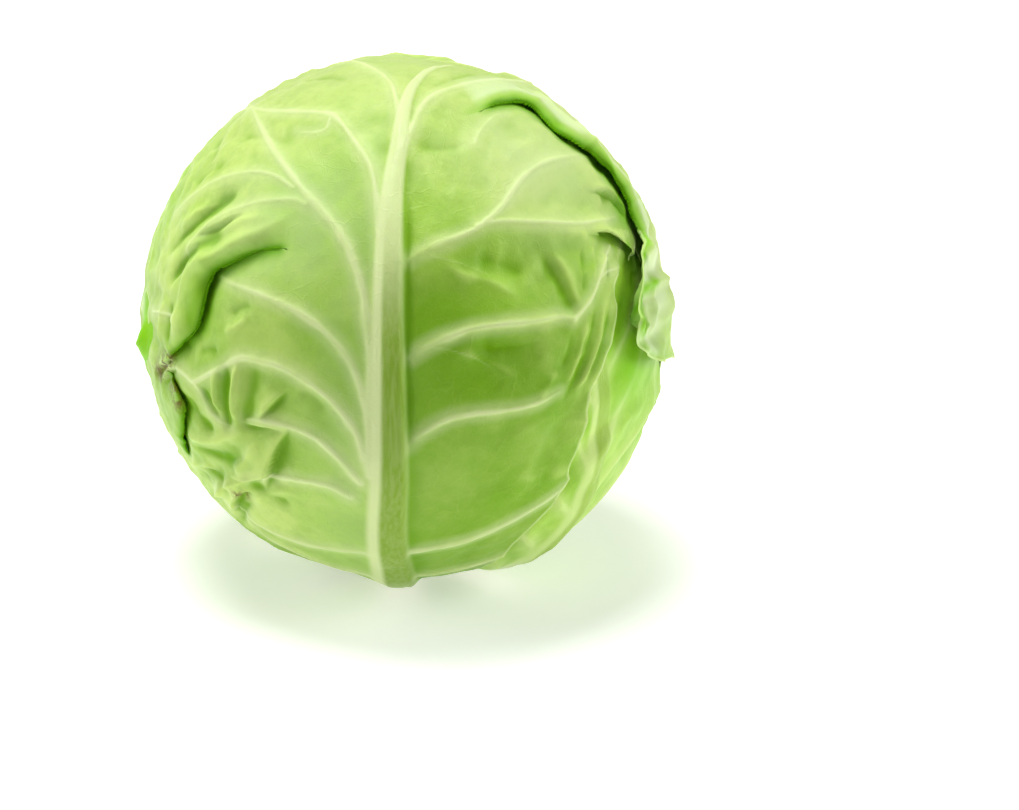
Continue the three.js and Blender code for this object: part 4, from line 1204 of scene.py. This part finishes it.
            # painted glow along the rolled lip, painted shade (hollow) under it and on the layer beneath, painted
            # highlight (pale) on the upper layer beyond the lip
            glow[sel] = np.maximum(glow[sel], np.where(on_top, np.exp(-((np.maximum(e - 0.6, 0) / p["glow_reach"]) ** 2)), 0) * np.clip(val("roll"), 0, 1) * p["glow"])
            ends = smooth(t / 0.06) * smooth((1 - t) / 0.05)
            hollow_shade[sel] = np.maximum(hollow_shade[sel], np.where(on_top, np.exp(-((e / 1.6) ** 2)), np.exp(-((beyond / (2.9 + p["tail"] * (3.0 * smooth((t - 0.38) / 0.08) + 5.0 * smooth((t - 0.48) / 0.06)))) ** 2))) * ends * (1 - 0.7 * val("free")))
            pale_highlight[sel] = np.maximum(pale_highlight[sel], np.where(on_top, smooth((e - 3.2) / 3.4) * np.exp(-((e / 15.0) ** 2)), 0) * ends * p["pale_highlight"])
            rim_at_cut[sel] = np.minimum(rim_at_cut[sel], d - p["slit"] + 30.0 * (1 - val("free")))
    shape = X.shape
    s = lambda f: grid.sample(f, mx, my)
    own_s = s(own)
    stem_clear = 17.6
    fx, fy = mx + tx, my + ty
    r = grid.sample(base, fx, fy) - grid.sample(relief if is_front else relief * 0, fx, fy) + (s(relief) if is_front else 0) + dz
    if is_front:
        r = np.where(on_flap, r + s(relief_flap - relief), r)
    if is_front:
        r = smax(r, grid.sample(lower, fx, fy) + 0.2, 0.4)
    d3 = chart_dir(leaf, fx, fy)
    if is_front:
        # frills on the flap's free margin, and the bulge that it makes at the silhouette
        pts = front([(644, 262), (641, 300), (642, 335), (662, 361)], 92.0)
        fd, _, ft = line_field(grid, smooth_line(pts, 1.0), 26.0)
        frill = np.where(fd < 500, np.exp(-((fd / 9.0) ** 2)), 0) * smooth(ft / 0.4)
        for pp, amp, wd in (([(652, 288), (660, 284), (670, 279), (676, 276)], 2.0, 2.6), ([(656, 299), (668, 296)], -1.0, 3.0), ([(641, 318), (646, 327), (652, 331), (657, 325)], 2.6, 1.9),
                            ([(664, 292), (667, 308), (664, 326)], 2.4, 3.2), ([(653, 288), (653.5, 300), (652.5, 312), (651, 321)], -4.0, 2.8), ([(650, 346), (662, 350), (672, 344)], 1.6, 3.2),
                            ([(658, 250), (670, 246)], 1.2, 3.4), ([(656, 268), (668, 265)], -0.9, 3.2)):
            q, _, _ = line_field(grid, smooth_line(front(pp, 93.0)), 3.5 * wd)
            f2 = np.where(q < 500, amp * (0.5 * np.exp(-((q / wd) ** 2)) + 0.5 * np.exp(-q / wd)), 0)
            r += s(f2)
        r += s(frill * (0.9 * grid.noise(5.0, 401) + 0.8 * grid.noise(9.0, 402)))
        swell = front([(674, 303)], 92.0)[0]
        r += s(4.0 * np.exp(-(((X - swell[0]) / 8.5) ** 2) - ((Y - swell[1]) / 13.0) ** 2))
        # painted glow: bright green along the flap's margin and round its pocket; painted highlight: pale beyond them
        lit = np.zeros_like(X)
        for pp, wd in (([(648, 240), (651, 258), (651, 274), (649.5, 290), (648, 303), (643.5, 315), (645.5, 325), (651, 331), (656, 326), (657.5, 314), (656, 300), (657, 290), (668, 281)], 2.6), ([(652.5, 292), (652.5, 304), (651, 318)], 4.2)):
            q, _, _ = line_field(grid, smooth_line(front(pp, 94.0), 1.0), 4.0 * wd)
            lit = np.maximum(lit, np.where(q < 500, 0.9 * np.exp(-((q / wd) ** 2)), 0))
        glow = np.maximum(glow, s(lit))
        flap_highlight = np.zeros_like(X)
        for at, sx, sy in (((664, 262, 92.5), 7.0, 8.0), ((669, 300, 92.5), 6.0, 9.0), ((666, 328, 92.5), 7.0, 7.0), ((658, 348, 92.5), 9.0, 5.0), ((645, 340, 94.0), 4.0, 5.0), ((660, 235, 92.0), 6.0, 9.0)):
            flap_highlight = np.maximum(flap_highlight, 0.9 * spot(at, sx, sy))
        pale_highlight = np.maximum(pale_highlight, s(flap_highlight)) * (1 - 0.85 * np.clip(glow, 0, 1))
        # painted shade: dark in the flap's pocket and in dents at the lower left
        hollow_shade = np.maximum(hollow_shade, s(np.exp(-(((X - front([(652, 309)], 94.0)[0, 0]) / 3.0) ** 2) - ((Y - front([(652, 309)], 94.0)[0, 1]) / 6.0) ** 2) + 0.45 * spot((228, 390), 2.4, 6.0) + 0.5 * spot((228, 458), 6.0, 2.8) + 0.35 * spot((208, 393), 2.0, 4.0)))
    if name == "left_leaf":
        # the part that stands out past the front leaf's margin
        bump = seen_at(leaf, [(147, 342)], 88.0)[0]
        r += s(3.0 * np.exp(-(((X - bump[0]) / 10.0) ** 2) - ((Y - bump[1] + 1.0) / 12.0) ** 2))
        # painted glow: brighter green on the part past the front leaf's margin and in a band along that margin
        by_margin = smooth((margins[BY_NAME["front_leaf"]] + 22.0) / 22.0)
        glow = np.maximum(glow, s(np.clip(1.1 * np.exp(-(((X - bump[0]) / 17.0) ** 2) - ((Y - bump[1]) / 22.0) ** 2), 0, 0.9) + 0.3 * by_margin))
    if name == "right_leaf":
        # painted glow: bright green on the right leaf where it lies in the flap's shade
        for at, sx, sy, amount in (((636, 372), 13.0, 13.0, 0.95), ((622, 320), 8.0, 12.0, 0.6), ((650, 410), 16.0, 14.0, 0.6)):
            px, py = seen_at(leaf, [at], 87.0)[0]
            glow = np.maximum(glow, s(amount * np.exp(-(((X - px) / sx) ** 2) - ((Y - py) / sy) ** 2)))
    outer = d3 * r[:, None]
    # the surface that the head rests on is never reached
    floor = -(CENTRE_Z - 1.4)
    outer[:, 2] = np.maximum(outer[:, 2], floor)
    axis = np.hypot(outer[:, 0], outer[:, 1])
    f = np.minimum(np.minimum(own_s, cut), np.where(outer[:, 2] < -40, axis - stem_clear, 50))
    attrs = dict(tone=s(tone), near=s(near), ribq=s(np.clip(np.abs(ribq), 0, 4)), ribs=s(np.clip(ribq, -1.5, 1.5) * (np.abs(ribq) < 1.5)), ribt=s(ribt), wax_and_highlight=s(np.clip(wax_and_highlight, 0, 1)), edge=np.minimum(own_s + (s(14.0 * spot((607, 234), 6.0, 6.0) + 14.0 * spot((625, 243), 7.0, 7.0)) if is_front else 0), rim_at_cut), painted_light=np.clip(s(painted_light), 0, 1),
                 dry=s(dry), foot=s(foot), crest_highlight=s(crest_highlight), valley_shade=s(valley_shade), hollow_shade=hollow_shade, shade=np.clip(s(shade), 0, 1), glow=glow, pale_highlight=pale_highlight)
    attrs = {a: v.reshape(shape) for a, v in attrs.items()}
    mat = leaf_material(name, *PALETTES[name])
    ob = closed_shell(name + "_skin", None, f.reshape(shape), outer.reshape(shape + (3,)), s(thick).reshape(shape), attrs, mat)
    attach(ob, "root")
    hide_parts(name)
    return ob


# ------------------------------------------------------------------ build
STEPS = {"front_leaf": 0.65, "right_leaf": 0.95, "left_leaf": 0.95, "back_right_leaf": 0.95, "back_leaf": 1.0, "crown_leaf": 1.1}
for k, leaf in enumerate(LEAVES):
    build_leaf(k, STEPS[leaf["name"]])

# ------------------------------------------------------------------ heart: seen only in the gaps at the leaf bases
def build_heart():
    n_lat, n_lon = 120, 200
    th = np.linspace(0.0, math.pi, n_lat + 1)[1:-1]
    ph = np.arange(n_lon) * 2 * math.pi / n_lon
    T, P = np.meshgrid(th, ph, indexing="ij")
    d = np.stack([np.sin(T) * np.cos(P), np.sin(T) * np.sin(P), np.cos(T)], -1)
    d = np.concatenate([d.reshape(-1, 3), [[0, 0, 1.0], [0, 0, -1.0]]])
    r = envelope(d) - PITCH * room(d) - 0.6 - 1.5 * smooth((inside(FRONT, d) - 9.0) / 12.0)
    r += 0.3 * np.sin(9 * np.arctan2(d[:, 1], d[:, 0]) + 4 * d[:, 2])
    r = np.minimum(r, (CENTRE_Z - 12.8) / np.maximum(-d[:, 2], 0.05))
    a = np.arange((n_lat - 1) * n_lon).reshape(n_lat - 1, n_lon)
    b = np.roll(a, -1, 1)
    quads = np.stack([a[:-1].ravel(), a[1:].ravel(), b[1:].ravel(), b[:-1].ravel()], -1)
    top, bot = len(d) - 2, len(d) - 1
    tris = np.vstack([np.stack([np.full(n_lon, top), a[0], b[0]], -1), np.stack([np.full(n_lon, bot), b[-1], a[-1]], -1)])
    z = np.zeros(len(d))
    attrs = dict(tone=z, near=z + 10, ribq=z + 4, ribs=z, ribt=z, wax_and_highlight=z + 0.3, edge=z + 20, painted_light=z, dry=z, foot=z + 0.2, crest_highlight=z, valley_shade=z, hollow_shade=z, shade=z, glow=z, pale_highlight=z, inner=z)
    mat = leaf_material("heart", srgb(196, 214, 136), srgb(150, 182, 84), srgb(214, 228, 160), srgb(228, 236, 190), srgb(200, 214, 140), srgb(206, 218, 172))
    ob = make_object("heart_skin", d * r[:, None], quads, tris, attrs, mat)
    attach(ob, "root")
    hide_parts("heart")


def build_stem():
    """The stump: a slightly fluted, roughly cut end, with the scars of the leaves trimmed off it."""
    prof = [(0.0, 0.25, 1), (2.0, 0.2, 1), (4.0, 0.1, 1), (6.5, 0.0, 1), (9.0, 0.0, 1), (11.5, 0.0, 1), (13.5, 0.0, 1), (15.2, 0.0, 1), (16.1, 0.05, 1), (16.7, 0.35, 0.7), (17.2, 0.9, 0.1),
            (17.7, 1.8, 0), (18.1, 2.8, 0), (18.4, 3.8, 0), (18.6, 4.8, 0), (18.8, 5.8, 0), (18.95, 6.9, 0), (19.05, 8.0, 0), (19.2, 9.2, 0), (19.5, 10.4, 0), (19.8, 11.6, 0), (19.0, 12.6, 0), (12.0, 13.0, 0), (0.0, 13.0, 0)]
    n = 128
    ph = np.arange(n) * 2 * math.pi / n
    co, ring, cut, sz = [], [], [], []
    rng = np.random.default_rng(9)
    waves = [(k, rng.uniform(0, 6.28), rng.uniform(0.3, 1.0) / k) for k in (2, 3, 5, 7, 11, 17)]
    for r, z, c in prof[1:-1]:
        w = sum(a * np.sin(k * ph + q + 0.12 * z * (k % 3)) for k, q, a in waves)
        scars = 0.0
        for az, zz in ((20, 5.5), (85, 4.2), (150, 6.5), (214, 5.0), (275, 6.8), (335, 4.6)):
            da = (np.degrees(ph) - az + 180) % 360 - 180
            scars = scars + np.exp(-((da / 17.0) ** 2) - ((z - zz) / 1.7) ** 2) - 0.6 * np.exp(-((da / 11.0) ** 2) - ((z - zz) / 0.9) ** 2)
        rr = r + (0.55 * w + 0.75 * scars) * min(1, r / 16.0) * (0.55 if c > 0.5 else 1.0)
        rr = np.minimum(rr, 19.9)
        zz = np.full(n, z) + (0.07 * np.abs(np.sin(5 * ph + r)) + 0.05 * np.abs(np.sin(9 * ph - 2 * r)) if 0 < r < 15 else 0)
        co.append(np.stack([rr * np.cos(ph), rr * np.sin(ph), zz - CENTRE_Z], -1))
        ring.append(np.full(n, r / 16.7))
        cut.append(np.full(n, float(c)))
        sz.append(np.full(n, z))
    rows = len(co)
    co = np.vstack(co + [np.array([[0, 0, 0.25 - CENTRE_Z], [0, 0, 13.0 - CENTRE_Z]])])
    ring, cut, sz = np.r_[np.concatenate(ring), 0, 2], np.r_[np.concatenate(cut), 1, 0], np.r_[np.concatenate(sz), 0, 13]
    a = np.arange(rows * n).reshape(rows, n)
    b = np.roll(a, -1, 1)
    quads = np.stack([a[:-1].ravel(), b[:-1].ravel(), b[1:].ravel(), a[1:].ravel()], -1)
    bot, top = rows * n, rows * n + 1
    tris = np.vstack([np.stack([np.full(n, bot), b[0], a[0]], -1), np.stack([np.full(n, top), a[-1], b[-1]], -1)])
    ob = make_object("stem_cut", co, quads, tris, dict(ring=ring, cut=cut, sidez=sz), stem_material())
    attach(ob, "root")
    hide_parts("cut_stem")


build_heart()
build_stem()

# ------------------------------------------------------------------ floor, light, camera
scene = bpy.context.scene
me = bpy.data.meshes.new("floor")
me.from_pydata([(-9, -9, 0), (9, -9, 0), (9, 9, 0), (-9, 9, 0)], [], [(0, 1, 2, 3)])
floor = bpy.data.objects.new("floor", me)
scene.collection.objects.link(floor)
fm, nt, bsdf = new_material("floor")
bsdf.inputs["Base Color"].default_value = (0.9, 0.9, 0.9, 1)
bsdf.inputs["Roughness"].default_value = 0.75
bsdf.inputs["Specular IOR Level"].default_value = 0.2
bsdf.inputs["Emission Color"].default_value = (1, 1, 1, 1)
bsdf.inputs["Emission Strength"].default_value = 0.34
me.materials.append(fm)

world = bpy.data.worlds.new("studio")
scene.world = world
world.use_nodes = True
bg = world.node_tree.nodes["Background"]
bg.inputs[0].default_value = (1.0, 1.0, 1.0, 1)
bg.inputs[1].default_value = 0.16


def area(name, at, to, size, power, colour=(1, 1, 1)):
    light = bpy.data.lights.new(name, "AREA")
    light.shape = "RECTANGLE"
    light.size, light.size_y = size
    light.energy = power
    light.color = colour
    ob = bpy.data.objects.new(name, light)
    scene.collection.objects.link(ob)
    ob.location = at
    from mathutils import Vector
    ob.rotation_euler = (Vector(to) - Vector(at)).to_track_quat("-Z", "Y").to_euler()
    return ob


area("key", (-0.2, 0.16, 1.5), (0, 0, 0.08), (0.9, 0.8), 25.5)
area("left", (-1.2, -0.05, 0.62), (0, 0, 0.1), (0.8, 0.7), 6.0)
area("right", (1.2, -0.15, 0.58), (0, 0, 0.1), (0.8, 0.7), 8.5)

cam_data = bpy.data.cameras.new("camera")
cam_data.sensor_width = 36.0
cam_data.lens = FOCAL * 36.0 / PX[0]
cam_data.clip_end = 50.0
cam = bpy.data.objects.new("camera", cam_data)
scene.collection.objects.link(cam)
from mathutils import Matrix

at = (CAM_POS + np.array([0, 0, CENTRE_Z]) + SHIFT) / 1000.0
cam.matrix_world = Matrix(((CAM_R[0], CAM_U[0], -CAM_F[0], at[0]), (CAM_R[1], CAM_U[1], -CAM_F[1], at[1]), (CAM_R[2], CAM_U[2], -CAM_F[2], at[2]), (0, 0, 0, 1)))
scene.camera = cam
scene.view_settings.view_transform = "Standard"
scene.view_settings.look = "None"
